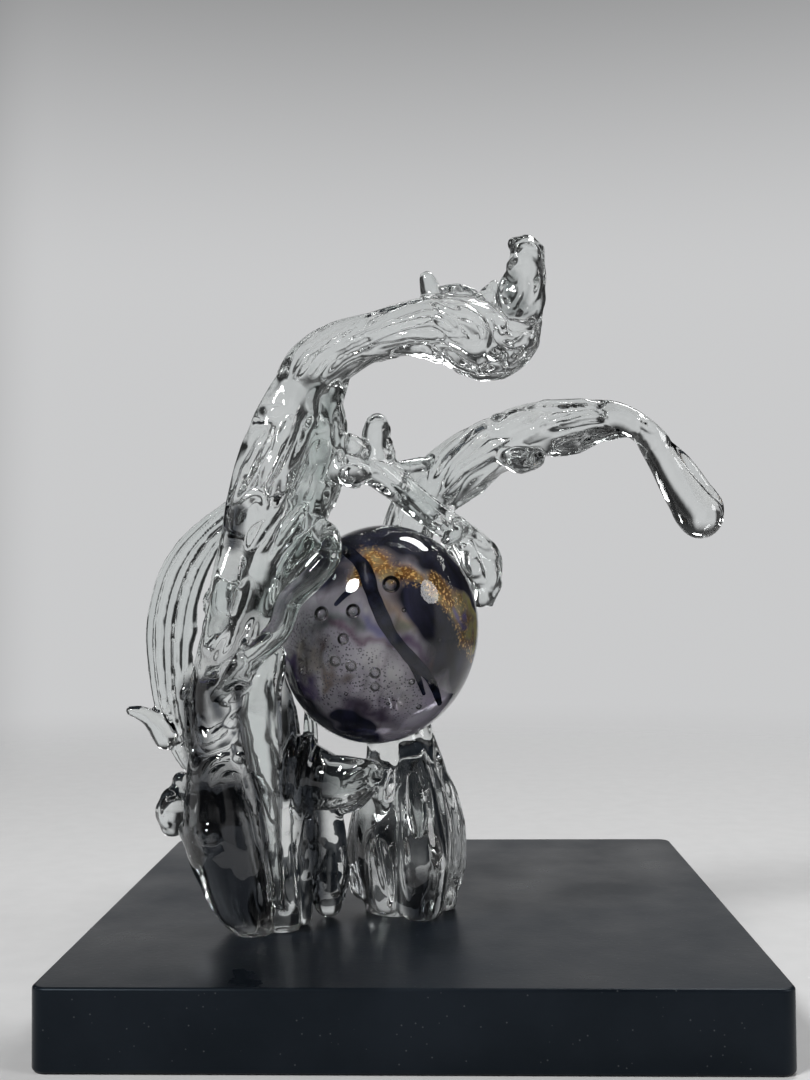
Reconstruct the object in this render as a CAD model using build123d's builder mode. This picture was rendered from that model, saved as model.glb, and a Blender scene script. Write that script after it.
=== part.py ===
from build123d import *
import os
from math import cos, radians, sin, tau

# A glass wave sculpture on a black slab. Two waves of clear glass rise from fluted feet, the front
# one to a curled crest and the rear one to a long arch that ends in a drip, and between them they
# clasp a ball of smoky glass. Every limb is a gather of its own, stuck hot to the one before it,
# so each piece is cut by the pieces that it was stuck to and meets them face to face.
# The origin is the middle of the slab's underside, +Z is up and -Y is the front.

os.makedirs("parts", exist_ok=True)

# Display slab
BASE_SIDE = 305
BASE_THICKNESS = 34
BASE_CORNER_RADIUS = 7
BASE_EDGE_EASE = 1.5

# The glass as a whole, above the slab
GLASS_HEIGHT = 325
GLASS_SPREAD = 290

# Rounded flutes of the two waves, and pinched ribs of the smaller limbs stuck to them
FLUTE_COUNT = 5
RIB_COUNT = 6
VALLEY_SHARE = 0.9
FLUTE_TURN_SHARE = 0.03

# The clasped ball: clear casing over a coloured core, longer than it is wide and leaning right
ORB_LENGTH = 103
ORB_BREADTH = 92
ORB_LEAN_ANGLE = 16
CASING_WALL = 8
ORB_SINK = 3

# Girths of the limbs, as radii across the widest flutes
FRONT_WAVE_RADIUS = 20
REAR_WAVE_RADIUS = 16
HEEL_RADIUS = 17
TOE_RADIUS = 12
SPUR_RADIUS = 12.5
LARGE_KNOB_RADIUS = 11.5
SMALL_KNOB_RADIUS = 5.5
LOW_KNOB_RADIUS = 7.5
FIN_RADIUS = 15
PRONG_RADIUS = 5
INNER_STRAND_RADIUS = 11
PALM_RADIUS = 15
ARM_RADIUS = 8
ROOT_KNOB_RADIUS = 6
THUMB_RADIUS = 7
HAND_RADIUS = 11
BRIDGE_RADIUS = 4
NODULE_RADIUS = 7.5
HORN_RADIUS = 5

# How thick the flattened limbs are front to back, as a share of their width
ROUND_SHARE = 1
FIN_DEPTH_SHARE = 0.55
PALM_DEPTH_SHARE = 0.45
SPUR_DEPTH_SHARE = 0.8
PALM_ROLL_ANGLE = 30

# Middle lines of the limbs. Each row is a place and a swell: x and y are shares of the spread from
# the middle of the slab, z is a share of the height above its top, and the swell is a share of the
# limb's own radius. A foot starts below the slab's top and is cut off there.
FRONT_WAVE_SHARES = [
    (-0.23, -0.215, -0.02, 0.56),
    (-0.23, -0.205, 0.09, 0.54),
    (-0.235, -0.21, 0.18, 0.7),
    (-0.26, -0.215, 0.275, 1.14),
    (-0.28, -0.205, 0.375, 1.12),
    (-0.27, -0.2, 0.485, 0.9),
    (-0.25, -0.21, 0.55, 0.72),
    (-0.215, -0.2, 0.695, 0.7),
    (-0.195, -0.195, 0.765, 0.68),
    (-0.15, -0.185, 0.82, 0.68),
    (-0.09, -0.175, 0.85, 0.66),
    (0.02, -0.17, 0.87, 0.72),
    (0.085, -0.17, 0.865, 0.92),
    (0.14, -0.17, 0.85, 0.82),
    (0.165, -0.17, 0.875, 0.6),
    (0.18, -0.175, 0.925, 0.56),
    (0.19, -0.185, 0.97, 0.48),
    (0.19, -0.185, 0.99, 0.3),
    (0.19, -0.185, 1, 0.1),
]
COLUMN_STATIONS = (0, 3)
TRUNK_STATIONS = (3, 6)
TWIST_STATIONS = (6, 9)
CREST_ARCH_STATIONS = (9, 11)
CREST_KNOT_STATIONS = (11, 13)
CREST_CURL_STATIONS = (13, 18)

REAR_WAVE_SHARES = [
    (-0.02, -0.095, -0.02, 1.62),
    (-0.02, -0.095, 0.075, 1.78),
    (-0.02, -0.075, 0.14, 1.72),
    (-0.03, -0.035, 0.215, 1.32),
    (-0.035, -0.01, 0.285, 1.1),
    (-0.04, -0.005, 0.385, 1.04),
    (-0.03, -0.005, 0.51, 0.94),
    (-0.01, -0.01, 0.59, 0.86),
    (0.035, -0.02, 0.65, 0.92),
    (0.105, -0.04, 0.7, 0.94),
    (0.205, -0.07, 0.73, 0.86),
    (0.295, -0.105, 0.74, 0.64),
    (0.36, -0.13, 0.73, 0.52),
    (0.405, -0.155, 0.69, 0.54),
    (0.43, -0.165, 0.635, 0.62),
    (0.45, -0.17, 0.595, 0.72),
    (0.47, -0.17, 0.57, 0.62),
    (0.485, -0.17, 0.555, 0.24),
]
FOOT_STATIONS = (0, 4)
REAR_COLUMN_STATIONS = (4, 7)
ARCH_RISE_STATIONS = (7, 10)
ARCH_CROWN_STATIONS = (10, 13)
DRIP_STATIONS = (13, 17)

HEEL_SHARES = [
    (-0.275, -0.2, -0.02, 0.48),
    (-0.29, -0.195, 0.06, 0.92),
    (-0.305, -0.195, 0.125, 1.04),
    (-0.295, -0.2, 0.19, 0.98),
    (-0.275, -0.205, 0.26, 0.58),
]
TOE_SHARES = [
    (-0.16, -0.17, -0.02, 0.96),
    (-0.16, -0.17, 0.075, 0.96),
    (-0.17, -0.175, 0.16, 1.02),
    (-0.215, -0.195, 0.245, 0.84),
]
SPUR_SHARES = [
    (-0.205, -0.205, 0.195, 0.88),
    (-0.15, -0.215, 0.205, 1.02),
    (-0.11, -0.23, 0.21, 0.98),
    (-0.08, -0.235, 0.22, 0.76),
    (-0.05, -0.24, 0.235, 0.28),
]
LARGE_KNOB_SHARES = [
    (-0.335, -0.195, 0.155, 0.74),
    (-0.37, -0.2, 0.165, 1.02),
    (-0.4, -0.2, 0.165, 0.86),
    (-0.415, -0.2, 0.165, 0.4),
]
SMALL_KNOB_SHARES = [
    (-0.34, -0.2, 0.195, 0.9),
    (-0.37, -0.2, 0.21, 1.06),
    (-0.39, -0.2, 0.22, 0.46),
]
LOW_KNOB_SHARES = [
    (-0.315, -0.22, 0.135, 1),
    (-0.33, -0.265, 0.13, 1.04),
    (-0.335, -0.285, 0.125, 0.46),
]
FIN_SHARES = [
    (-0.29, -0.18, 0.625, 0.36),
    (-0.33, -0.165, 0.58, 0.54),
    (-0.36, -0.16, 0.525, 0.84),
    (-0.385, -0.16, 0.45, 1.02),
    (-0.385, -0.16, 0.365, 0.94),
    (-0.37, -0.17, 0.275, 0.6),
    (-0.34, -0.185, 0.215, 0.34),
]
PRONG_SHARES = [
    (-0.365, -0.16, 0.27, 1.2),
    (-0.415, -0.145, 0.285, 0.98),
    (-0.45, -0.145, 0.3, 0.8),
    (-0.48, -0.15, 0.305, 0.4),
]
INNER_STRAND_SHARES = [
    (-0.24, -0.195, 0.43, 0.72),
    (-0.205, -0.185, 0.505, 0.9),
    (-0.185, -0.17, 0.58, 1.04),
    (-0.16, -0.17, 0.685, 1.02),
    (-0.145, -0.17, 0.77, 0.86),
    (-0.13, -0.18, 0.825, 0.64),
]
ARM_SHARES = [
    (-0.145, -0.17, 0.68, 1.2),
    (-0.1, -0.16, 0.665, 1.12),
    (-0.03, -0.14, 0.63, 0.98),
    (0.04, -0.125, 0.585, 0.92),
    (0.085, -0.13, 0.555, 1.04),
]
ROOT_KNOB_SHARES = [
    (-0.135, -0.165, 0.685, 0.84),
    (-0.105, -0.16, 0.7, 0.96),
    (-0.095, -0.155, 0.715, 0.42),
]
THUMB_SHARES = [
    (-0.06, -0.145, 0.65, 1.02),
    (-0.06, -0.145, 0.695, 0.94),
    (-0.06, -0.145, 0.725, 0.98),
    (-0.06, -0.145, 0.74, 0.36),
]
HAND_SHARES = [
    (0.085, -0.13, 0.555, 0.82),
    (0.105, -0.14, 0.525, 1.1),
    (0.12, -0.145, 0.495, 0.96),
    (0.125, -0.145, 0.465, 0.36),
]
BRIDGE_SHARES = [
    (-0.055, -0.14, 0.665, 1),
    (-0.015, -0.09, 0.67, 0.96),
    (0.03, -0.035, 0.665, 1.14),
]
NODULE_SHARES = [
    (0.17, -0.075, 0.71, 0.8),
    (0.185, -0.11, 0.685, 1.02),
    (0.21, -0.115, 0.675, 0.86),
    (0.23, -0.11, 0.685, 0.34),
]
LEFT_HORN_SHARES = [
    (0.04, -0.17, 0.885, 1.3),
    (0.035, -0.17, 0.93, 0.88),
    (0.03, -0.17, 0.955, 0.36),
]
RIGHT_HORN_SHARES = [
    (0.09, -0.17, 0.875, 1.3),
    (0.112, -0.16, 0.915, 0.86),
    (0.125, -0.15, 0.94, 0.36),
]

# The palm lies on the ball, so its places are shares of the ball's radius, from its middle
PALM_SHARES = [
    (-1.4, -0.1, -0.05, 0.44),
    (-1.1, -0.3, 0.25, 0.8),
    (-0.85, -0.5, 0.5, 1),
    (-0.6, -0.6, 0.75, 0.9),
    (-0.4, -0.55, 0.95, 0.5),
]

# The ball is pressed into the side of the trunk where it swells most, at this height
ORB_SEAT_SHARES = FRONT_WAVE_SHARES[4]
ORB_HEIGHT_SHARE = 0.42
HALF_TURN_ANGLE = 180


def place(row):
    """The middle of a limb's cross-section, from its row of shares."""
    across, back, up, swell = row
    return Vector(across * GLASS_SPREAD, back * GLASS_SPREAD, BASE_THICKNESS + up * GLASS_HEIGHT)


trunk_seat = place(ORB_SEAT_SHARES)
trunk_reach = FRONT_WAVE_RADIUS * ORB_SEAT_SHARES[3]
orb_radius = ORB_BREADTH / 2
orb_middle = Vector(
    trunk_seat.X + trunk_reach + orb_radius - ORB_SINK,
    trunk_seat.Y,
    BASE_THICKNESS + ORB_HEIGHT_SHARE * GLASS_HEIGHT,
)


def place_on_orb(row):
    """The middle of a cross-section of the palm, from its row of shares of the ball's radius."""
    across, back, up, swell = row
    return orb_middle + Vector(across, back, up) * orb_radius


def cross_section(plane, radius, depth_share, turn_share, count, fluted):
    """A ring of rounded flutes or of pinched ribs that meet in valleys, flattened front to back."""
    def rim(step, reach):
        angle = tau * (step / count + turn_share)
        return (reach * cos(angle), reach * depth_share * sin(angle))

    with BuildSketch(plane) as face:
        with BuildLine():
            for step in range(count):
                valley = rim(step, radius * VALLEY_SHARE)
                ridge = rim(step + 1 / 2, radius)
                next_valley = rim(step + 1, radius * VALLEY_SHARE)
                if fluted:
                    ThreePointArc(valley, ridge, next_valley)
                else:
                    Polyline(valley, ridge, next_valley)
        make_face()
    return face.sketch


def draw_stretch(rows, radius, stations, depth_share, placing, roll_angle, count, fluted):
    """Adds a stretch of a limb: cross-sections square to its middle line, joined by a loft."""
    first, last = stations
    middles = [placing(row) for row in rows]
    faces = []
    for station in range(first, last + 1):
        before = middles[max(station - 1, 0)]
        after = middles[min(station + 1, len(rows) - 1)]
        along = after - before
        plane = Plane(middles[station], x_dir=Axis.Y.direction.cross(along), z_dir=along)
        plane = plane.rotated((0, 0, roll_angle))
        reach = radius * rows[station][3]
        turn_share = station * FLUTE_TURN_SHARE
        faces.append(cross_section(plane, reach, depth_share, turn_share, count, fluted))
    loft(faces, ruled=True)


def draw_wave(rows, radius, stations):
    """Adds one stretch of a wave, with rounded flutes that run on into the next stretch."""
    draw_stretch(rows, radius, stations, ROUND_SHARE, place, 0, FLUTE_COUNT, True)


def draw_limb(rows, radius, depth_share=ROUND_SHARE, placing=place, roll_angle=0):
    """Adds a whole smaller limb, with pinched ribs."""
    stations = (0, len(rows) - 1)
    draw_stretch(rows, radius, stations, depth_share, placing, roll_angle, RIB_COUNT, False)


def seat_against(piece, *neighbours):
    """Cuts the neighbours out of the piece being made and keeps its main body, without slivers."""
    for neighbour in neighbours:
        add(neighbour.part, mode=Mode.SUBTRACT)
    bodies = piece.part.solids().sort_by(SortBy.VOLUME)
    add(bodies[-1], mode=Mode.REPLACE)


def turn_ball(wall):
    """Adds the ball, smaller than its outer size by the wall: half an ellipse turned about its long axis."""
    lean = radians(ORB_LEAN_ANGLE)
    long_axis = Vector(sin(lean), 0, cos(lean))
    half_length = ORB_LENGTH / 2 - wall
    half_breadth = orb_radius - wall
    with BuildSketch(Plane(orb_middle, x_dir=long_axis, z_dir=Axis.Y.direction)) as half:
        with BuildLine():
            rim = EllipticalCenterArc((0, 0), half_length, half_breadth, arc_size=HALF_TURN_ANGLE)
            Line(rim @ 1, rim @ 0)
        make_face()
    revolve(half.sketch, axis=Axis(orb_middle, long_axis))


# Display slab: rounded upright corners, with the top and bottom edges eased
with BuildPart() as display_base:
    with BuildSketch():
        RectangleRounded(BASE_SIDE, BASE_SIDE, BASE_CORNER_RADIUS)
    extrude(amount=BASE_THICKNESS)
    rims = display_base.faces().filter_by(Axis.Z).edges()
    chamfer(rims, BASE_EDGE_EASE)
display_base.part.label = "display_base"
export_step(display_base.part, "parts/display_base.step")

# Clasped ball: the coloured core, then the clear casing gathered over it
with BuildPart() as orb_core:
    turn_ball(CASING_WALL)
orb_core.part.label = "orb_core"
export_step(orb_core.part, "parts/orb_core.step")

with BuildPart() as orb_casing:
    turn_ball(0)
    add(orb_core.part, mode=Mode.SUBTRACT)
orb_casing.part.label = "orb_casing"
export_step(orb_casing.part, "parts/orb_casing.step")

# Front wave, from its foot to the tip of its crest
with BuildPart() as front_column:
    draw_wave(FRONT_WAVE_SHARES, FRONT_WAVE_RADIUS, COLUMN_STATIONS)
    seat_against(front_column, display_base, orb_casing)
front_column.part.label = "front_column"
export_step(front_column.part, "parts/front_column.step")

with BuildPart() as front_trunk:
    draw_wave(FRONT_WAVE_SHARES, FRONT_WAVE_RADIUS, TRUNK_STATIONS)
    seat_against(front_trunk, orb_casing, orb_core)
front_trunk.part.label = "front_trunk"
export_step(front_trunk.part, "parts/front_trunk.step")

with BuildPart() as twist_strand:
    draw_wave(FRONT_WAVE_SHARES, FRONT_WAVE_RADIUS, TWIST_STATIONS)
    seat_against(twist_strand, orb_casing)
twist_strand.part.label = "twist_strand"
export_step(twist_strand.part, "parts/twist_strand.step")

with BuildPart() as crest_arch:
    draw_wave(FRONT_WAVE_SHARES, FRONT_WAVE_RADIUS, CREST_ARCH_STATIONS)
crest_arch.part.label = "crest_arch"
export_step(crest_arch.part, "parts/crest_arch.step")

with BuildPart() as crest_knot:
    draw_wave(FRONT_WAVE_SHARES, FRONT_WAVE_RADIUS, CREST_KNOT_STATIONS)
crest_knot.part.label = "crest_knot"
export_step(crest_knot.part, "parts/crest_knot.step")

with BuildPart() as crest_curl:
    draw_wave(FRONT_WAVE_SHARES, FRONT_WAVE_RADIUS, CREST_CURL_STATIONS)
    seat_against(crest_curl, crest_knot)
crest_curl.part.label = "crest_curl"
export_step(crest_curl.part, "parts/crest_curl.step")

# Rear wave, from its foot to the end of its drip
with BuildPart() as rear_foot:
    draw_wave(REAR_WAVE_SHARES, REAR_WAVE_RADIUS, FOOT_STATIONS)
    seat_against(rear_foot, display_base, orb_casing)
rear_foot.part.label = "rear_foot"
export_step(rear_foot.part, "parts/rear_foot.step")

with BuildPart() as rear_column:
    draw_wave(REAR_WAVE_SHARES, REAR_WAVE_RADIUS, REAR_COLUMN_STATIONS)
    seat_against(rear_column, orb_casing, orb_core)
rear_column.part.label = "rear_column"
export_step(rear_column.part, "parts/rear_column.step")

with BuildPart() as arch_rise:
    draw_wave(REAR_WAVE_SHARES, REAR_WAVE_RADIUS, ARCH_RISE_STATIONS)
    seat_against(arch_rise, orb_casing)
arch_rise.part.label = "arch_rise"
export_step(arch_rise.part, "parts/arch_rise.step")

with BuildPart() as arch_crown:
    draw_wave(REAR_WAVE_SHARES, REAR_WAVE_RADIUS, ARCH_CROWN_STATIONS)
arch_crown.part.label = "arch_crown"
export_step(arch_crown.part, "parts/arch_crown.step")

with BuildPart() as arch_drip:
    draw_wave(REAR_WAVE_SHARES, REAR_WAVE_RADIUS, DRIP_STATIONS)
arch_drip.part.label = "arch_drip"
export_step(arch_drip.part, "parts/arch_drip.step")

with BuildPart() as arch_nodule:
    draw_limb(NODULE_SHARES, NODULE_RADIUS)
    seat_against(arch_nodule, arch_rise, arch_crown)
arch_nodule.part.label = "arch_nodule"
export_step(arch_nodule.part, "parts/arch_nodule.step")

# Lobes and knobs about the front foot
with BuildPart() as front_heel:
    draw_limb(HEEL_SHARES, HEEL_RADIUS)
    seat_against(front_heel, display_base, front_column, front_trunk)
front_heel.part.label = "front_heel"
export_step(front_heel.part, "parts/front_heel.step")

with BuildPart() as front_toe:
    draw_limb(TOE_SHARES, TOE_RADIUS)
    seat_against(front_toe, display_base, front_column, front_trunk, front_heel, rear_foot)
front_toe.part.label = "front_toe"
export_step(front_toe.part, "parts/front_toe.step")

with BuildPart() as lower_spur:
    draw_limb(SPUR_SHARES, SPUR_RADIUS, SPUR_DEPTH_SHARE)
    seat_against(lower_spur, front_column, front_heel, front_toe, rear_foot, orb_casing)
lower_spur.part.label = "lower_spur"
export_step(lower_spur.part, "parts/lower_spur.step")

with BuildPart() as heel_knob_large:
    draw_limb(LARGE_KNOB_SHARES, LARGE_KNOB_RADIUS)
    seat_against(heel_knob_large, front_heel, front_column)
heel_knob_large.part.label = "heel_knob_large"
export_step(heel_knob_large.part, "parts/heel_knob_large.step")

with BuildPart() as heel_knob_small:
    draw_limb(SMALL_KNOB_SHARES, SMALL_KNOB_RADIUS)
    seat_against(heel_knob_small, front_heel, front_column, front_trunk, heel_knob_large)
heel_knob_small.part.label = "heel_knob_small"
export_step(heel_knob_small.part, "parts/heel_knob_small.step")

with BuildPart() as heel_knob_low:
    draw_limb(LOW_KNOB_SHARES, LOW_KNOB_RADIUS)
    seat_against(heel_knob_low, front_heel, front_column, heel_knob_large)
heel_knob_low.part.label = "heel_knob_low"
export_step(heel_knob_low.part, "parts/heel_knob_low.step")

# Ribbed fin down the left side, with the prong that points out of it
with BuildPart() as side_fin:
    draw_limb(FIN_SHARES, FIN_RADIUS, FIN_DEPTH_SHARE)
    seat_against(side_fin, front_trunk, twist_strand, front_column, front_heel, heel_knob_small)
side_fin.part.label = "side_fin"
export_step(side_fin.part, "parts/side_fin.step")

with BuildPart() as fin_prong:
    draw_limb(PRONG_SHARES, PRONG_RADIUS)
    seat_against(fin_prong, side_fin, front_trunk, front_heel, heel_knob_small)
fin_prong.part.label = "fin_prong"
export_step(fin_prong.part, "parts/fin_prong.step")

# Second strand of the twisted neck, and the two horns on the crest
with BuildPart() as inner_strand:
    draw_limb(INNER_STRAND_SHARES, INNER_STRAND_RADIUS)
    seat_against(inner_strand, front_trunk, twist_strand, crest_arch, orb_casing)
inner_strand.part.label = "inner_strand"
export_step(inner_strand.part, "parts/inner_strand.step")

with BuildPart() as horn_left:
    draw_limb(LEFT_HORN_SHARES, HORN_RADIUS)
    seat_against(horn_left, crest_arch, crest_knot)
horn_left.part.label = "horn_left"
export_step(horn_left.part, "parts/horn_left.step")

with BuildPart() as horn_right:
    draw_limb(RIGHT_HORN_SHARES, HORN_RADIUS)
    seat_against(horn_right, crest_arch, crest_knot)
horn_right.part.label = "horn_right"
export_step(horn_right.part, "parts/horn_right.step")

# Leaf-shaped palm folded over the ball
with BuildPart() as orb_palm:
    draw_limb(PALM_SHARES, PALM_RADIUS, PALM_DEPTH_SHARE, place_on_orb, PALM_ROLL_ANGLE)
    seat_against(orb_palm, front_trunk, twist_strand, inner_strand, orb_casing)
orb_palm.part.label = "orb_palm"
export_step(orb_palm.part, "parts/orb_palm.step")

# Cross arm behind the ball, with its root knob, thumb and hand, and the bridge to the rear wave
with BuildPart() as cross_arm:
    draw_limb(ARM_SHARES, ARM_RADIUS)
    seat_against(cross_arm, inner_strand, twist_strand, orb_casing, arch_rise)
cross_arm.part.label = "cross_arm"
export_step(cross_arm.part, "parts/cross_arm.step")

with BuildPart() as arm_root_knob:
    draw_limb(ROOT_KNOB_SHARES, ROOT_KNOB_RADIUS)
    seat_against(arm_root_knob, inner_strand, twist_strand, cross_arm)
arm_root_knob.part.label = "arm_root_knob"
export_step(arm_root_knob.part, "parts/arm_root_knob.step")

with BuildPart() as arm_thumb:
    draw_limb(THUMB_SHARES, THUMB_RADIUS)
    seat_against(arm_thumb, cross_arm, arm_root_knob)
arm_thumb.part.label = "arm_thumb"
export_step(arm_thumb.part, "parts/arm_thumb.step")

with BuildPart() as arm_hand:
    draw_limb(HAND_SHARES, HAND_RADIUS)
    seat_against(arm_hand, cross_arm, orb_casing, orb_core)
arm_hand.part.label = "arm_hand"
export_step(arm_hand.part, "parts/arm_hand.step")

with BuildPart() as bridge:
    draw_limb(BRIDGE_SHARES, BRIDGE_RADIUS)
    seat_against(bridge, cross_arm, arm_thumb, arch_rise)
bridge.part.label = "bridge"
export_step(bridge.part, "parts/bridge.step")
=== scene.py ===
"""The glass wave sculpture as it looks: two waves of clear glass clasp a smoky ball on a black slab.

Every place on the glass is named by where it shows in the photograph (pixels of the 810 x 1080 frame), by
its depth (millimetres behind the middle of the slab) and by its half width in pixels.
"""

import math

import bpy
import numpy as np
from mathutils import Matrix, Vector
from mathutils.bvhtree import BVHTree


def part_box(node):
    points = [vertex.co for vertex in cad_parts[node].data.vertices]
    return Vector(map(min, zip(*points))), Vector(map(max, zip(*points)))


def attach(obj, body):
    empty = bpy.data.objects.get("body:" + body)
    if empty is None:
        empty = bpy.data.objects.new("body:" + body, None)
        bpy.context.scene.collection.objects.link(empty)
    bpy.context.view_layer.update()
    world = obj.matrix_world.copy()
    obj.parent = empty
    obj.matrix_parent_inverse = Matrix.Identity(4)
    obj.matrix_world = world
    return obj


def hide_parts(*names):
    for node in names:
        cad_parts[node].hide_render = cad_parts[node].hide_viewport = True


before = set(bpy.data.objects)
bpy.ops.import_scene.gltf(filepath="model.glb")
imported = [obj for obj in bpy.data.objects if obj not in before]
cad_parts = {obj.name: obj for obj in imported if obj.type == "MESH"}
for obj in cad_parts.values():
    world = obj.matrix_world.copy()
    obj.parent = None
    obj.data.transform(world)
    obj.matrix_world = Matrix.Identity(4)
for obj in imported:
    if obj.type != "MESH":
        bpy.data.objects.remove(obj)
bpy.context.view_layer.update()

MM = 0.001

# The photograph's camera, fitted to the four top corners of the slab.
CAMERA_EYE = np.array([14.82, -679.67, 194.4]) * MM
CAMERA_YAW, CAMERA_PITCH, CAMERA_ROLL = math.radians(1.689), math.radians(1.832), math.radians(-0.416)
FOCAL_PIXELS = 1322.8
FRAME_PIXELS = (810, 1080)
FILM_WIDTH = 36.0

# The ball: its long axis leans to the right, and the coloured core has this share of its radius.
ORB_LONG, ORB_BROAD, ORB_LEAN = 51.5 * MM, 46.0 * MM, math.radians(16)
GLASS_IOR = 1.5
VEIL_SHARE = 0.80

# How finely the waves are worked. SEAT_GAP is how far they stay off the slab, and BALL_GAP how many ball
# radii they stay from the ball's middle.
LIMB_SIDES = 64
LIMB_SPACING = 1.1 * MM
LIMB_THINNEST = 0.3 * MM
DOME_STEPS = 7
SKIN_VOXEL = 1.2 * MM
SKIN_PASSES = 1.6
RIPPLE_SINES = 9
SEAT_GAP = 0.1 * MM
BALL_GAP = 1.004
OVAL_ROWS = 17

# Strands sink in by this share of their radius. The sight lines that lay them on from behind start this far
# from the eye and a few pixels aside.
STRAND_SINK = 0.1
FAR_START = 1.6
ASIDE = (4, 6, 0)

# The slab's rounded upright corners and eased edges.
SLAB_CORNER, SLAB_EASE = 7 * MM, 1.6 * MM

# The studio: how bright its walls, dark panels, ceiling and ground are, its floor, and its lamps with their
# places, sizes and watts.
WALL_LEVEL, PANEL_LEVEL, CEILING_LEVEL, GROUND_LEVEL = 0.60, 0.02, 0.05, 0.60
FLOOR_RADIUS, FLOOR_DROP = 3.2, 0.0002
LAMP_TARGET = (0.0, 0.0, 0.18)
LAMPS = (("key_softbox", (-0.9, -1.0, 1.5), 0.45, 24), ("fill_softbox", (1.4, -0.6, 1.1), 0.7, 8),
         ("back_softbox", (0.7, 1.0, 2.0), 0.8, 22))
LIGHT_BOUNCES = 24


# The photograph's frame

def camera_axes():
    """Right, up and forward of the photograph's camera."""
    forward = np.array([-math.sin(CAMERA_YAW) * math.cos(CAMERA_PITCH),
                        math.cos(CAMERA_YAW) * math.cos(CAMERA_PITCH), math.sin(CAMERA_PITCH)])
    level = np.array([math.cos(CAMERA_YAW), math.sin(CAMERA_YAW), 0.0])
    upright = np.cross(level, forward)
    right = level * math.cos(CAMERA_ROLL) + upright * math.sin(CAMERA_ROLL)
    return right, np.cross(right, forward), forward


RIGHT, UP, FORWARD = camera_axes()


def sight_lines(pixels):
    """The direction from the eye through each pixel, one unit forward."""
    pixels = np.asarray(pixels, float)
    across = (pixels[:, 0] - FRAME_PIXELS[0] / 2) / FOCAL_PIXELS
    down = (pixels[:, 1] - FRAME_PIXELS[1] / 2) / FOCAL_PIXELS
    return FORWARD + across[:, None] * RIGHT - down[:, None] * UP


def at_depth(rows):
    """Rows of (pixel x, pixel y, depth, half width) as rows of (x, y, z, radius) in metres."""
    rows = np.asarray(rows, float)
    lines = sight_lines(rows[:, :2])
    reach = (rows[:, 2] * MM - CAMERA_EYE[1]) / lines[:, 1]
    points = CAMERA_EYE + lines * reach[:, None]
    return np.column_stack([points, rows[:, 3] * reach / FOCAL_PIXELS])


def seen_pixels(points):
    """Where points show in the photograph, in pixels."""
    lines = points - CAMERA_EYE
    depth = lines @ FORWARD
    return np.column_stack([FRAME_PIXELS[0] / 2 + FOCAL_PIXELS * (lines @ RIGHT) / depth,
                            FRAME_PIXELS[1] / 2 - FOCAL_PIXELS * (lines @ UP) / depth])


def near_line(pixels, line, reach):
    """One on the line through these pixels, falling smoothly to nothing at reach pixels from it."""
    line = np.asarray(line, float)
    best = np.full(len(pixels), 1e9)
    for start, end in zip(line[:-1], line[1:]):
        run = end - start
        along = np.clip((pixels - start) @ run / (run @ run), 0, 1)
        best = np.minimum(best, np.linalg.norm(pixels - start - along[:, None] * run, axis=1))
    share = np.clip(1 - best / reach, 0, 1)
    return share * share * (3 - 2 * share)


def near_any(pixels, strokes):
    """One on any of these strokes, each a line and its reach, and nothing beyond them all."""
    return np.maximum.reduce([near_line(pixels, line, reach) for line, reach in strokes])


# The ball's own frame

casing_low, casing_high = (np.array(corner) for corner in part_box("orb_casing"))
slab_low, slab_high = (np.array(corner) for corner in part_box("display_base"))
SLAB_TOP = slab_high[2]
ORB_MIDDLE = (casing_low + casing_high) / 2
ORB_AXES = np.array([[math.cos(ORB_LEAN), 0, -math.sin(ORB_LEAN)], [0, 1, 0],
                     [math.sin(ORB_LEAN), 0, math.cos(ORB_LEAN)]])
ORB_RADII = np.array([ORB_BROAD, ORB_BROAD, ORB_LONG])


def to_ball(points):
    """Points in ball radii from the ball's middle, along its own axes."""
    return (points - ORB_MIDDLE) @ ORB_AXES.T / ORB_RADII


def from_ball(shares):
    """The points that lie so many ball radii from the ball's middle."""
    return shares * ORB_RADII @ ORB_AXES + ORB_MIDDLE


def met_on_ball(rows):
    """Where the rows' sight lines first meet the ball, which way it faces there, and the radii in metres.

    In ball radii the ball is a unit sphere, so the reach is the nearer root of |eye + line * reach| = 1.
    """
    lines = sight_lines(rows[:, :2]) @ ORB_AXES.T / ORB_RADII
    eye = to_ball(CAMERA_EYE)
    square = np.sum(lines ** 2, axis=1)
    slant = lines @ eye
    outside = eye @ eye - 1
    reach = (-slant - np.sqrt(np.maximum(slant * slant - square * outside, 0))) / square
    hits = eye + lines * reach[:, None]
    points = from_ball(hits)
    outward = hits / ORB_RADII @ ORB_AXES
    outward /= np.linalg.norm(outward, axis=1)[:, None]
    distance = (points - CAMERA_EYE) @ FORWARD
    return points, outward, rows[:, 3] * distance / FOCAL_PIXELS


def on_ball(rows):
    """Rows of (pixel x, pixel y, lift in mm, half width) as rows of (x, y, z, radius), lying on the ball."""
    rows = np.asarray(rows, float)
    points, outward, radii = met_on_ball(rows)
    return np.column_stack([points + outward * rows[:, 2:3] * MM, radii])


def inside_ball(rows):
    """Rows of (pixel x, pixel y, depth in the glass in mm, half width) as rows of (x, y, z, radius).

    The sight line bends where it enters the ball, so what lies there shows at the named pixel.
    """
    rows = np.asarray(rows, float)
    points, outward, radii = met_on_ball(rows)
    lines = sight_lines(rows[:, :2])
    lines /= np.linalg.norm(lines, axis=1)[:, None]
    facing = -np.sum(lines * outward, axis=1)[:, None]
    bend = 1 / GLASS_IOR
    inner = bend * lines + (bend * facing - np.sqrt(1 - bend ** 2 * (1 - facing ** 2))) * outward
    return np.column_stack([points + inner * rows[:, 2:3] * MM, radii])


# Drawn glass

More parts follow.
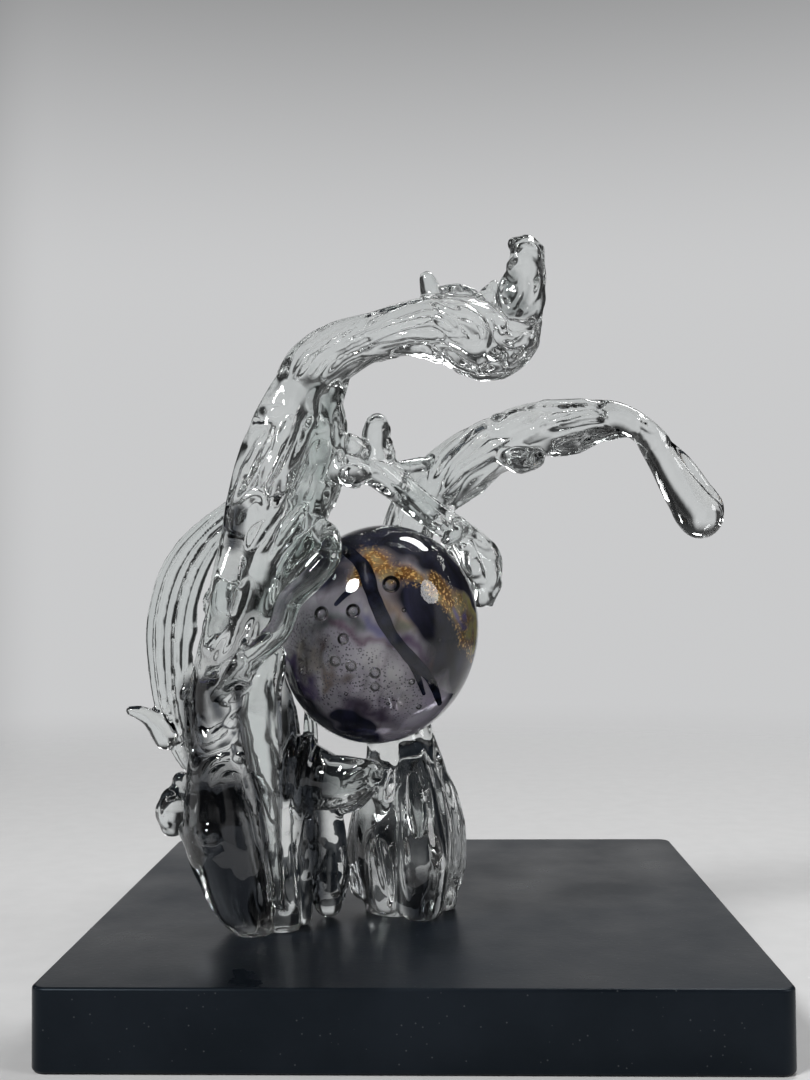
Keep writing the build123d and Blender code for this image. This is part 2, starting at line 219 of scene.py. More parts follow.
def follow(rows, spacing):
    """Even stations along the smooth line through the rows: cubic pieces that keep the rows' gradients."""
    steps = np.linalg.norm(np.diff(rows[:, :3], axis=0), axis=1)
    knots = np.concatenate(([0.0], np.cumsum(steps)))
    slopes = np.gradient(rows, knots, axis=0)
    count = max(10, int(knots[-1] / spacing))
    along = np.linspace(0.0, knots[-1], count)
    left = np.clip(np.searchsorted(knots, along, side="right") - 1, 0, len(knots) - 2)
    span = (knots[left + 1] - knots[left])[:, None]
    t = (along - knots[left])[:, None] / span
    line = ((2 * t ** 3 - 3 * t ** 2 + 1) * rows[left] + (t ** 3 - 2 * t ** 2 + t) * span * slopes[left]
            + (3 * t ** 2 - 2 * t ** 3) * rows[left + 1] + (t ** 3 - t ** 2) * span * slopes[left + 1])
    return line, along


def limb(rows, flutes=0, depth=0.0, twist=0.0, flat=1.0, lumps=0.0, seed=0.0, normal=None):
    """A drawn limb of hot glass: a section carried along the smooth line through rows of (x, y, z, radius).

    Round the section the reach is 1 - depth + depth * |cos(flutes * turn / 2)| ** 0.6, so broad round flutes
    meet in sharp valleys. The turn is the angle round the limb plus twist radians from end to end, and it
    wanders by about 0.3 radians; the depth wanes by up to a half. flat presses the section across its facing
    direction, and lumps makes its size rise and fall. The ends are domes: rings that close along a quarter
    circle.
    """
    line, along = follow(np.asarray(rows, float), LIMB_SPACING)
    centre, radius = line[:, :3], np.maximum(line[:, 3], LIMB_THINNEST)
    share = along / along[-1]
    tangent = np.gradient(centre, along, axis=0)
    tangent /= np.linalg.norm(tangent, axis=1)[:, None]
    facing = np.array([0.0, 1.0, 0.0]) if normal is None else np.asarray(normal, float)
    across = np.cross(np.broadcast_to(facing, tangent.shape), tangent)
    across /= np.linalg.norm(across, axis=1)[:, None]
    toward = np.cross(tangent, across)
    swell = np.sin(along / MM * 0.29 + seed) + 0.6 * np.sin(along / MM * 0.67 + 2 * seed)
    radius = radius * (1 + lumps * swell)
    bow = np.linspace(0, math.pi / 2, DOME_STEPS + 1)[1:]
    first = centre[0] - tangent[0] * radius[0] * np.sin(bow)[::-1, None]
    last = centre[-1] + tangent[-1] * radius[-1] * np.sin(bow)[:, None]
    closing = np.maximum(np.cos(bow), 0.02)
    centre = np.vstack([first, centre, last])
    radius = np.concatenate([radius[0] * closing[::-1], radius, radius[-1] * closing])
    repeat = ([0] * len(bow)) + list(range(len(share))) + ([len(share) - 1] * len(bow))
    across, toward, share = across[repeat], toward[repeat], share[repeat][:, None]
    angle = np.linspace(0, 2 * math.pi, LIMB_SIDES, endpoint=False)[None, :]
    reach = np.ones((len(centre), LIMB_SIDES))
    if flutes:
        turn = angle + twist * share + 0.3 * np.sin(5.1 * share + seed) + 0.32 * np.sin(2 * angle + seed)
        strength = depth * (0.75 + 0.25 * np.sin(9.0 * share + 2.1 * angle + 1.7 * seed))
        reach = 1 - strength + strength * np.abs(np.cos(flutes * turn / 2)) ** 0.6
    section = (np.cos(angle)[:, :, None] * across[:, None, :]
               + (flat * np.sin(angle))[:, :, None] * toward[:, None, :])
    return centre[:, None, :] + (radius[:, None] * reach)[:, :, None] * section


def drawn(rows, *section, **shape):
    """A limb through rows of (pixel x, pixel y, depth, half width)."""
    return limb(at_depth(rows), *section, **shape)


def tube_faces(rings, sides):
    """The faces of a closed tube of rings: a band of squares between rings, and one cap at each end."""
    start = np.arange(rings - 1)[:, None] * sides
    here = np.arange(sides)[None, :]
    there = (here + 1) % sides
    band = np.stack([start + here, start + there, start + sides + there, start + sides + here], axis=-1)
    faces = band.reshape(-1, 4).tolist()
    faces.append(list(range(sides - 1, -1, -1)))
    faces.append(list(range((rings - 1) * sides, rings * sides)))
    return faces


def joined(tubes):
    """The vertices and faces of several closed tubes, taken together."""
    vertices, faces, offset = [], [], 0
    for tube in tubes:
        rings, sides = tube.shape[:2]
        vertices.append(tube.reshape(-1, 3))
        faces += [[corner + offset for corner in face] for face in tube_faces(rings, sides)]
        offset += rings * sides
    return np.vstack(vertices), faces


def place_mesh(name, mesh):
    """The mesh as an object at the origin."""
    piece = bpy.data.objects.new(name, mesh)
    bpy.context.scene.collection.objects.link(piece)
    return piece


def new_object(name, vertices, faces, smooth=True):
    """A mesh object with these vertices and faces, at the origin."""
    mesh = bpy.data.meshes.new(name)
    mesh.from_pydata(vertices.tolist(), [], faces)
    mesh.update()
    mesh.polygons.foreach_set("use_smooth", [smooth] * len(mesh.polygons))
    return place_mesh(name, mesh)


def round_grid(sides, rings):
    """A ball of one radius as rings of latitude, ready for a small cap at each pole."""
    height = np.linspace(-1, 1, rings) * math.radians(90 - 60 / rings)
    turn = np.linspace(0, 2 * math.pi, sides, endpoint=False)
    return np.stack([np.cos(height)[:, None] * np.cos(turn), np.cos(height)[:, None] * np.sin(turn),
                     np.broadcast_to(np.sin(height)[:, None], (rings, sides))], axis=-1)


def waves_of(points, pitch, seed):
    """Rolling unevenness over space: sines in seeded directions, each bent by another one."""
    random = np.random.default_rng(seed)
    total = np.zeros(len(points))
    for _ in range(RIPPLE_SINES):
        direction = random.normal(size=3)
        direction /= np.linalg.norm(direction)
        other = random.normal(size=3)
        other /= np.linalg.norm(other)
        length = pitch * random.uniform(0.7, 1.5)
        bend = 1.4 * np.sin(points @ other * 2 * math.pi / (2.3 * length) + random.uniform(0, 6.3))
        total += np.sin(points @ direction * 2 * math.pi / length + bend + random.uniform(0, 6.3))
    return total / math.sqrt(RIPPLE_SINES)


def relaxed(points, edges, softness):
    """The skin once the fire has softened it: each point moves toward its neighbours' middle, pass by pass.

    A pass takes it half way. softness(points) gives how many passes a point takes part in.
    """
    count = len(points)
    first, second = edges[:, 0], edges[:, 1]
    neighbours = np.bincount(first, minlength=count) + np.bincount(second, minlength=count)
    passes = softness(points)
    for turn in range(int(math.ceil(passes.max()))):
        middle = np.empty_like(points)
        for axis in range(3):
            total = (np.bincount(first, weights=points[second, axis], minlength=count)
                     + np.bincount(second, weights=points[first, axis], minlength=count))
            middle[:, axis] = total / neighbours
        share = 0.5 * np.clip(passes - turn, 0, 1)
        points = points + (middle - points) * share[:, None]
    return points


def mesh_rows(items, name, width, kind=float):
    """One attribute of all these mesh items, as rows of numbers."""
    values = np.empty(len(items) * width, dtype=kind)
    items.foreach_get(name, values)
    return values.reshape(-1, width)


def set_points(mesh, points):
    """Moves the mesh's vertices to these points."""
    mesh.vertices.foreach_set("co", points.ravel())
    mesh.update()


def paint(mesh, name, colours):
    """A colour attribute with one row of (red, green, blue, alpha) for each vertex."""
    layer = mesh.color_attributes.new(name, "FLOAT_COLOR", "POINT")
    layer.data.foreach_set("color", colours.ravel())


def melt_together(name, tubes, softness, wrinkles, green_and_painted_shade):
    """One skin of hot glass over all these limbs.

    Where limbs overlap they fuse, as gathers of hot glass do. softness(points) gives how far the fire rounds
    the skin, wrinkles(points) how far it rises, and the last function the green cast and painted shade laid
    on it. What would reach into the ball lies on it instead, and what would reach into the slab stands on
    it.
    """
    rough = new_object(name + "_limbs", *joined(tubes))
    remesh = rough.modifiers.new("fuse", "REMESH")
    remesh.mode = "VOXEL"
    remesh.voxel_size = SKIN_VOXEL
    graph = bpy.context.evaluated_depsgraph_get()
    mesh = bpy.data.meshes.new_from_object(rough.evaluated_get(graph))
    mesh.name = name
    bpy.data.objects.remove(rough)
    points = relaxed(mesh_rows(mesh.vertices, "co", 3), mesh_rows(mesh.edges, "vertices", 2, int), softness)
    set_points(mesh, points)
    points = points + mesh_rows(mesh.vertices, "normal", 3) * wrinkles(points)[:, None]
    shares = to_ball(points)
    distance = np.linalg.norm(shares, axis=1)
    inside = distance < BALL_GAP
    shares[inside] *= (BALL_GAP / distance[inside])[:, None]
    points[inside] = from_ball(shares[inside])
    points[:, 2] = np.maximum(points[:, 2], SLAB_TOP + SEAT_GAP)
    set_points(mesh, points)
    mesh.polygons.foreach_set("use_smooth", [True] * len(mesh.polygons))
    # Green cast and painted shade, kept together in one colour attribute.
    paint(mesh, "green_and_painted_shade", green_and_painted_shade(points))
    print(name, "triangles", 2 * len(mesh.polygons))
    return place_mesh(name, mesh)


def laid_on(tree, rows, behind=False):
    """Rows of (x, y, z, radius) for a strand that lies on the glass where it shows.

    Each row is (pixel x, pixel y, half width). The strand follows the first surface that its sight lines
    meet, from the front or from behind, smoothed along its length, with its middle sunk by a share of its
    radius. Over four half widths its ends thin out and dive under, so that it melts into what carries it.
    """
    rows = np.asarray(rows, float)
    steps = np.concatenate(([0.0], np.cumsum(np.hypot(*np.diff(rows[:, :2], axis=0).T))))
    along = np.linspace(0.0, steps[-1], max(6, int(steps[-1] / 5)))
    fine = np.column_stack([np.interp(along, steps, rows[:, k]) for k in range(3)])
    lines = sight_lines(fine[:, :2])
    lengths = np.linalg.norm(lines, axis=1)
    lines /= lengths[:, None]
    far = FAR_START if behind else 0.0
    starts = CAMERA_EYE + lines * far
    turned = -lines if behind else lines
    found = [tree.ray_cast(Vector(start), Vector(line))[3] for start, line in zip(starts, turned)]
    met = np.array([hit is not None for hit in found])
    if not met.any():
        return None
    depth = np.interp(along, along[met], [abs(far - hit) for hit in found if hit is not None])
    padded = np.pad(depth, 2, mode="edge")
    depth = np.convolve(padded, [0.1, 0.2, 0.4, 0.2, 0.1], mode="valid")
    radius = fine[:, 2] * depth / lengths / FOCAL_PIXELS
    ends = np.clip(np.minimum(along, along[-1] - along) / (4 * fine[:, 2]), 0, 1)
    inward = -1 if behind else 1
    depth = depth + inward * radius * (STRAND_SINK + 0.9 * (1 - ends))
    return np.column_stack([CAMERA_EYE + lines * depth[:, None], radius * (0.45 + 0.55 * ends)])


def with_strands(bodies, strands):
    """The limbs, with the strands laid on them as seen from the front, and again as seen from behind."""
    vertices, faces = joined(bodies)
    tree = BVHTree.FromPolygons(vertices.tolist(), faces)
    laid = [laid_on(tree, rows) for rows in strands]
    laid += [laid_on(tree, np.asarray(rows, float) + ASIDE, behind=True) for rows in strands]
    return bodies + [limb(rows, lumps=0.02, seed=k) for k, rows in enumerate(laid) if rows is not None]


def oval(x, y, wide, high, half_width, start=0.0, sweep=360.0, lean=0.0):
    """Rows round an oval seen in the photograph, for a fold of glass."""
    angle = np.radians(start + np.linspace(0, sweep, OVAL_ROWS))
    lean = math.radians(lean)
    across, down = wide * np.cos(angle), high * np.sin(angle)
    return np.column_stack([x + across * math.cos(lean) - down * math.sin(lean),
                            y + across * math.sin(lean) + down * math.cos(lean),
                            np.full(OVAL_ROWS, half_width)])


# The front wave

def front_foot():
    """The fluted middle foot, the big heel on its left, the two toes on its right and the long bulge."""
    column = [(284, 926, -62, 17), (282, 895, -62, 18), (279, 855, -62, 19), (275, 815, -63, 22),
              (269, 780, -64, 26)]
    shaft = [(273, 800, -63, 19), (266, 765, -64, 28), (258, 720, -64, 36), (250, 680, -62, 41),
             (245, 640, -60, 44)]
    heel = [(254, 925, -68, 21), (246, 905, -66, 31), (238, 870, -64, 41), (230, 835, -62, 46),
            (226, 795, -60, 42), (222, 760, -60, 34), (222, 725, -58, 28)]
    near_toe = [(303, 916, -54, 10), (303, 880, -54, 11), (305, 845, -55, 12), (304, 812, -57, 12),
                (298, 780, -58, 12)]
    far_toe = [(329, 902, -40, 15), (330, 870, -42, 17), (329, 840, -44, 18), (322, 808, -48, 18),
               (308, 780, -52, 18)]
    long_bulge = [(283, 644, -74, 6), (274, 664, -83, 13), (265, 686, -88, 18), (261, 708, -90, 21),
                  (262, 738, -88, 21), (266, 768, -86, 17), (271, 800, -83, 12), (275, 850, -79, 7),
                  (279, 905, -76, 6)]
    bulge_back = [(276, 618, -50, 7), (271, 645, -44, 18), (264, 682, -40, 26), (262, 720, -40, 26),
                  (265, 760, -43, 22), (270, 800, -48, 14)]
    bodies = [drawn(column, 7, 0.20, 0.5, seed=1), drawn(shaft, 3, 0.04, seed=6),
              drawn(bulge_back, flat=0.4), drawn(heel, 5, 0.13, 0.5, flat=1.15, seed=2),
              drawn(near_toe, 3, 0.12, seed=3), drawn(far_toe, 4, 0.14, seed=4),
              drawn(long_bulge, flat=0.62, seed=5)]
    # Four long folds down the foot, ridges on the middle foot and toes, and curls on the heel's shoulder.
    strands = [
        [(232, 725, 4), (238, 750, 6), (246, 775, 6), (255, 805, 6), (262, 845, 5), (268, 890, 5),
         (270, 915, 4)],
        [(288, 690, 4), (292, 730, 5), (290, 765, 5), (287, 805, 5), (288, 850, 5), (291, 890, 5),
         (294, 918, 4)],
        [(308, 700, 5), (309, 740, 6), (303, 780, 6), (298, 830, 5), (297, 880, 4)],
        [(236, 790, 4), (246, 820, 5), (254, 855, 5), (261, 890, 5), (265, 918, 4)],
        [(316, 850, 4), (315, 880, 4), (314, 903, 4)],
        [(340, 835, 4), (342, 870, 4), (341, 892, 4)],
        [(322, 830, 4), (323, 865, 4), (323, 898, 4)],
        [(304, 835, 3), (304, 870, 3), (303, 905, 3)],
        [(276, 830, 4), (280, 870, 4), (283, 912, 4)],
        oval(229, 784, 8, 8, 5, start=120, sweep=280),
        oval(230, 784, 18, 18, 4.6, start=150, sweep=215),
        oval(231, 785, 28, 29, 4.6, start=170, sweep=190),
    ]
    return bodies, strands


def front_trunk():
    """The swollen trunk with its bright flat panel, and the long folds that run down it from the neck."""
    body = [(232, 770, -58, 38), (232, 730, -58, 43), (236, 690, -58, 46), (242, 650, -58, 44),
            (250, 605, -58, 38), (257, 560, -58, 34), (263, 520, -58, 31)]
    panel = [(233, 556, -76, 12), (228, 578, -80, 14), (221, 605, -83, 13), (213, 630, -82, 10),
             (208, 644, -79, 7)]
    panel_back = [(237, 552, -44, 14), (228, 590, -42, 17), (216, 630, -42, 15)]
    bodies = [drawn(body, 3, 0.05, -0.6, seed=11), drawn(panel, flat=0.45, seed=12),
              drawn(panel_back, flat=0.4)]
    # A lump below the panel, folds that slant down to the left, one down the edge, and the V-shaped fold.
    strands = [
        [(204, 654, 7), (203, 670, 10), (201, 686, 7)],
        [(256, 662, 6), (244, 680, 8), (230, 697, 9), (216, 714, 7)],
        [(258, 610, 4), (247, 645, 6), (231, 672, 7), (215, 694, 5)],
        [(250, 566, 5), (238, 604, 6), (226, 642, 6), (216, 668, 5)],
        [(192, 655, 4), (189, 695, 6), (191, 740, 6), (196, 775, 5)],
        [(201, 706, 7), (202, 728, 9), (209, 744, 9), (224, 735, 10), (237, 720, 9), (248, 702, 6)],
    ]
    return bodies, strands


def front_neck():
    """The two twisted strands of the neck, whose flutes show as long pointed lenses."""
    outer = [(216, 650, -62, 12), (224, 610, -64, 18), (236, 565, -66, 23), (249, 520, -64, 27),
             (262, 480, -62, 30), (275, 440, -58, 31), (289, 408, -56, 28), (306, 376, -54, 26)]
    inner = [(286, 570, -52, 14), (299, 540, -50, 21), (313, 490, -48, 24), (321, 445, -48, 22),
             (325, 408, -50, 20), (332, 378, -52, 18)]
    bodies = [drawn(outer, 5, 0.17, 3.0, seed=21), drawn(inner, 5, 0.24, 3.2, seed=22)]
    # Seven long lenses, the loops, two short cross folds and the right edge of the inner strand.
    strands = [
        [(243, 560, 4), (259, 530, 7), (276, 505, 7), (294, 484, 4)],
        [(262, 575, 4), (280, 545, 7), (298, 518, 7), (316, 492, 4)],
        [(240, 500, 4), (252, 468, 8), (266, 440, 8), (276, 416, 4)],
        [(258, 500, 4), (272, 464, 8), (288, 430, 8), (302, 400, 4)],
        [(284, 480, 4), (297, 450, 7), (309, 422, 7), (318, 396, 4)],
        [(294, 520, 4), (308, 490, 7), (321, 460, 7), (332, 428, 4)],
        [(228, 524, 4), (238, 496, 6), (248, 468, 6), (256, 444, 4)],
        oval(319, 402, 8, 15, 5.6, start=30, sweep=320, lean=10),
        oval(311, 432, 9, 14, 5.6, start=80, sweep=320, lean=20),
        oval(325, 452, 8, 13, 5.6, start=10, sweep=320, lean=10),
        oval(307, 472, 9, 14, 5.6, start=200, sweep=320, lean=28),
        oval(318, 496, 9, 12, 5.6, start=120, sweep=320, lean=24),
        oval(299, 508, 8, 13, 5.0, start=40, sweep=320, lean=30),
        oval(250, 512, 11, 19, 4.6, start=60, sweep=320, lean=34),
        [(262, 418, 3), (276, 410, 5), (292, 412, 3)],
        [(268, 458, 3), (282, 452, 5), (296, 456, 3)],
        [(330, 500, 4), (337, 460, 6), (338, 420, 6), (336, 392, 4)],
    ]
    return bodies, strands


def crest():
    """The smooth arch that runs on into the knot with its loops and two horns, and the upright curl."""
    arch = [(292, 404, -54, 25), (312, 370, -54, 30), (340, 350, -52, 29), (375, 336, -50, 25),
            (408, 329, -50, 28), (436, 328, -50, 33), (462, 332, -50, 37), (484, 338, -50, 34),
            (504, 345, -50, 26), (516, 342, -50, 19)]
    curl = [(506, 346, -50, 20), (516, 326, -50, 22), (521, 304, -50, 23), (525, 280, -52, 22),
            (527, 262, -54, 19), (526, 250, -54, 15)]
    horn_left = [(440, 312, -50, 18), (432, 294, -50, 12), (427, 279, -50, 8)]
    horn_right = [(476, 322, -50, 18), (487, 302, -49, 13), (494, 286, -48, 6)]
    tip_lumps = [[(514, 244, -56, 7), (520, 242, -58, 6)], [(538, 250, -54, 7), (537, 258, -56, 6)]]
    bodies = [drawn(arch, 6, 0.15, 2.4, seed=31), drawn(curl, 4, 0.12, 2.6, lumps=0.04, seed=33),
              drawn(horn_left), drawn(horn_right)]
    bodies += [drawn(rows) for rows in tip_lumps]
    # Flutes of the arch, the web between the horns, folds and loops of knot and curl, and short ripples.
    strands = [
        [(304, 384, 4), (324, 358, 5), (354, 342, 5), (390, 326, 5), (425, 316, 6), (452, 312, 5)],
        [(318, 382, 4), (344, 360, 5), (378, 344, 5), (410, 336, 6), (440, 336, 6), (462, 344, 5)],
        [(290, 384, 4), (308, 358, 5), (338, 336, 5), (372, 320, 4)],
        [(346, 358, 4), (370, 352, 5), (396, 350, 4)],
        [(431, 297, 6), (446, 290, 7), (460, 290, 7), (474, 295, 7), (486, 305, 6)],
        [(426, 308, 5), (436, 304, 6), (450, 312, 6), (468, 317, 6), (482, 322, 6), (494, 326, 5)],
        [(420, 322, 5), (432, 316, 6), (446, 322, 6), (458, 334, 5), (462, 348, 5)],
        [(418, 350, 5), (434, 344, 5), (446, 350, 6), (458, 360, 6), (472, 368, 5)],
        [(438, 330, 5), (442, 345, 6), (456, 361, 7), (478, 369, 7), (500, 366, 7), (518, 354, 7),
         (530, 336, 7), (536, 314, 6)],
        [(489, 308, 5), (492, 322, 6), (498, 334, 6), (511, 341, 6), (524, 334, 5), (532, 320, 5)],
        [(484, 334, 5), (488, 350, 6), (500, 358, 6), (514, 350, 5)],
        oval(462, 327, 26, 16, 5.0, start=200, sweep=310, lean=30),
        oval(474, 338, 12, 14, 4.6, start=-60, sweep=330, lean=-12),
        oval(514, 289, 11, 22, 5.4, start=-80, sweep=345, lean=12),
        oval(530, 284, 7, 18, 4.4, start=-90, sweep=330, lean=8),
        oval(520, 268, 10, 10, 4.4, start=60, sweep=300),
        oval(527, 252, 10, 8, 4.6, start=90, sweep=330),
        [(402, 336, 5), (408, 345, 6), (418, 351, 5)],
        [(416, 338, 5), (423, 349, 6), (434, 356, 5)],
        [(430, 342, 5), (438, 354, 6), (450, 362, 5)],
        [(504, 318, 4), (514, 312, 5), (528, 310, 5), (538, 300, 4)],
    ]
    return bodies, strands


def side_fin():
    """The broad fin down the left side: long ribs that follow its outline, lens bumps and the prong."""
    outer = np.array([(228, 504), (199, 526), (179, 547), (165, 571), (155, 603), (151, 635), (153, 667),
                      (157, 699), (166, 730), (175, 752), (186, 768)], float)
    inner = np.array([(236, 530), (220, 552), (211, 572), (204, 592), (199, 615), (196, 640), (194, 667),
                      (194, 699), (196, 728), (198, 750), (202, 768)], float)
    ribs = [np.column_stack([outer + (inner - outer) * share, np.full(len(outer), depth),
                             np.clip(0.115 * np.linalg.norm(outer - inner, axis=1), 3.6, 6.5)])
            for share, depth in ((0.0, -37.0), (0.20, -40.5), (0.40, -37.0), (0.61, -41.5), (0.83, -38.0))]
    prong = [(166, 738, -39, 12), (157, 724, -40, 11), (147, 716, -41, 8.5), (137, 712, -42, 7),
             (131, 711, -43, 5.5)]
    bodies = [drawn(rows, lumps=0.02, seed=k) for k, rows in enumerate(ribs)]
    bodies += [drawn(prong, 3, 0.08, seed=6)]
    strands = [[(209, 578, 5), (204, 592, 7), (200, 604, 5)], [(196, 612, 5), (192, 630, 8), (191, 650, 5)]]
    return bodies, strands


def heel_knobs():
    """The round knobs that sit about the heel."""
    large = [(173, 824, -52, 13), (172, 812, -52, 17), (174, 800, -52, 14)]
    small = [(182, 786, -50, 10), (181, 780, -50, 9)]
    low = [(214, 842, -81, 14), (211, 836, -81, 15)]
    side = [(196, 842, -72, 12), (190, 830, -66, 12)]
    bodies = [drawn(rows) for rows in (large, small, low, side)]
    strands = [oval(172, 812, 11, 16, 3.6, start=60, sweep=260),
               oval(211, 838, 9, 9, 3.2, start=-40, sweep=230)]
    return bodies, strands


def lower_spur():
    """The pointed spur below the ball, with the flat facet near its tip."""
    body = [(294, 768, -62, 34), (314, 776, -66, 30), (334, 782, -70, 27), (354, 779, -74, 25),
            (368, 773, -77, 16)]
    bodies = [drawn(body, 4, 0.10, 0.8, flat=0.9, seed=41)]
    strands = [[(312, 744, 5), (332, 760, 6), (352, 762, 6), (374, 762, 5)],
               [(310, 808, 5), (332, 805, 6), (354, 798, 6), (374, 782, 5)],
               [(332, 787, 4), (350, 778, 5), (376, 763, 4)], [(332, 788, 3), (354, 786, 4), (374, 778, 3)]]
    return bodies, strands


def orb_palm():
    """The leaf of glass folded over the ball: a plain cup with a thick rolled rope for an edge."""
    facing = np.array([-0.55, -0.70, 0.45])
    cup = [(262, 610, 3, 20), (273, 597, 4, 29), (288, 583, 5, 34), (304, 568, 5, 34), (320, 551, 4, 25)]
    rope = np.vstack([on_ball([(328, 535, 5, 9), (337, 548, 6, 11), (336, 568, 7, 12), (321, 588, 8, 13),
                               (303, 606, 8, 13)]),
                      at_depth([(280, 628, -94, 13), (258, 652, -96, 12), (236, 676, -94, 10),
                                (216, 697, -88, 7)])])
    upper_edge = on_ball([(276, 556, 4, 7), (290, 543, 6, 9), (308, 534, 7, 10), (326, 534, 6, 9)])
    left_edge = on_ball([(282, 552, 5, 6), (271, 566, 5, 7), (265, 584, 5, 7), (264, 602, 5, 6)])
    return [limb(on_ball(cup), flat=0.28, normal=facing), limb(rope, 4, 0.14, 3.0, seed=51),
            limb(upper_edge, seed=52), limb(left_edge, seed=53)], []


def cross_arm():
    """The twisted arm behind the ball, its root lumps, thumb and hand, and the bridge to the rear wave."""
    arm = [(340, 466, -48, 15), (358, 466, -46, 15), (376, 472, -42, 16), (396, 486, -38, 17),
           (416, 501, -34, 16), (436, 517, -30, 15), (456, 532, -26, 15), (476, 546, -24, 15),
           (490, 556, -24, 10)]
    root_upper = [(336, 445, -50, 9), (348, 442, -52, 9), (359, 449, -50, 10), (368, 458, -47, 11)]
    root_lower = [(344, 474, -56, 11), (352, 476, -56, 12), (362, 474, -52, 9)]
    thumb = [(378, 468, -42, 17), (377, 459, -42, 16), (375, 446, -42, 14), (376, 433, -42, 14),
             (377, 425, -42, 12)]
    hand = [(470, 544, -26, 17), (483, 560, -26, 20), (487, 578, -28, 15), (484, 598, -28, 9)]
    leaf = [(452, 536, -33, 11), (461, 551, -34, 14), (469, 570, -34, 14), (476, 588, -33, 11),
            (480, 602, -31, 7)]
    tube = [(446, 541, -44, 6), (454, 535, -46, 9), (460, 530, -45, 9)]
    bridge = [(386, 466, -40, 6), (402, 467, -32, 7), (418, 465, -22, 8), (432, 463, -12, 8)]
    bodies = [drawn(arm, 3, 0.20, 4.2, seed=61), drawn(root_upper, lumps=0.05, seed=62),
              drawn(root_lower, 3, 0.1, seed=63), drawn(thumb, seed=64),
              drawn(hand, 3, 0.12, 0.8, flat=0.55, seed=65), drawn(leaf, flat=0.5),
              drawn(tube), drawn(bridge, 3, 0.15, 2.0, seed=66)]
    # Two long folds that twist along the arm, and small folds about the thumb, the root and the hand.
    strands = [
        [(352, 458, 4), (382, 470, 6), (410, 494, 6), (438, 520, 6), (462, 546, 4)],
        [(384, 462, 4), (408, 482, 6), (434, 504, 6), (462, 524, 6), (484, 542, 5), (494, 556, 4)],
        oval(377, 427, 9, 10, 3.4, start=160, sweep=220),
        oval(378, 424, 5, 6, 2.6, start=100, sweep=300),
        oval(472, 561, 8, 15, 3.0, start=20, sweep=320, lean=-16),
        [(386, 432, 4), (388, 446, 4), (390, 462, 4)],
        oval(352, 474, 9, 7, 3.4, start=30, sweep=290),
        [(492, 560, 4), (494, 578, 5), (487, 600, 4)],
        [(474, 577, 3), (481, 588, 4), (488, 600, 3)],
    ]
    return bodies, strands


# The rear wave

def rear_foot():
    """The rear foot: tall lobes of glass side by side, which rise into the column behind the ball."""
    body = [(404, 896, -22, 42), (404, 855, -20, 50), (403, 810, -14, 46), (401, 768, -6, 37),
            (399, 722, 1, 33), (396, 660, 6, 30), (396, 600, 6, 28), (401, 555, 4, 25), (408, 528, 1, 18)]
    lobes = [
        [(438, 896, -22, 20), (440, 860, -22, 22), (438, 815, -16, 19), (433, 772, -8, 14),
         (424, 735, -2, 10), (418, 690, 3, 7)],
        [(421, 898, -42, 25), (422, 862, -40, 27), (419, 815, -32, 22), (414, 770, -18, 17),
         (408, 732, -8, 13), (405, 690, 2, 9)],
        [(388, 894, -38, 20), (386, 858, -36, 21), (388, 815, -26, 17), (390, 772, -14, 14),
         (389, 735, -4, 11), (390, 690, 4, 8)],
        [(366, 882, -22, 18), (364, 852, -20, 19), (368, 812, -14, 16), (375, 775, -8, 13),
         (380, 738, -2, 11), (384, 690, 4, 7)],
    ]
    window = [(413, 778, -50, 8), (416, 796, -54, 11), (418, 815, -56, 12), (418, 832, -57, 8)]
    window_back = [(410, 762, 16, 14), (412, 790, 18, 20), (413, 815, 18, 20), (414, 836, 16, 14)]
    bodies = ([drawn(body, 6, 0.15, 1.3, seed=71), drawn(window, flat=0.5),
               drawn(window_back, flat=0.4)]
              + [drawn(rows, 3, 0.06, seed=72 + k) for k, rows in enumerate(lobes)])
    # Folds between the lobes, one across the window, and three long ones up the column.
    strands = [
        [(404, 757, 4), (404, 800, 5), (404, 838, 5), (407, 876, 5), (412, 905, 4)],
        [(376, 829, 4), (380, 850, 5), (386, 880, 5), (391, 905, 4)],
        [(440, 762, 4), (449, 790, 6), (456, 820, 6), (458, 850, 5), (456, 880, 4)],
        [(384, 812, 4), (386, 790, 6), (392, 764, 4)],
        [(410, 790, 4), (420, 800, 5), (430, 788, 4)],
        [(412, 730, 4), (408, 660, 5), (402, 590, 6), (404, 530, 5), (420, 494, 4)],
        [(396, 740, 4), (392, 670, 6), (388, 600, 6), (390, 545, 5), (402, 510, 4)],
        [(384, 730, 4), (380, 670, 5), (378, 610, 5), (384, 560, 4)],
    ]
    return bodies, strands


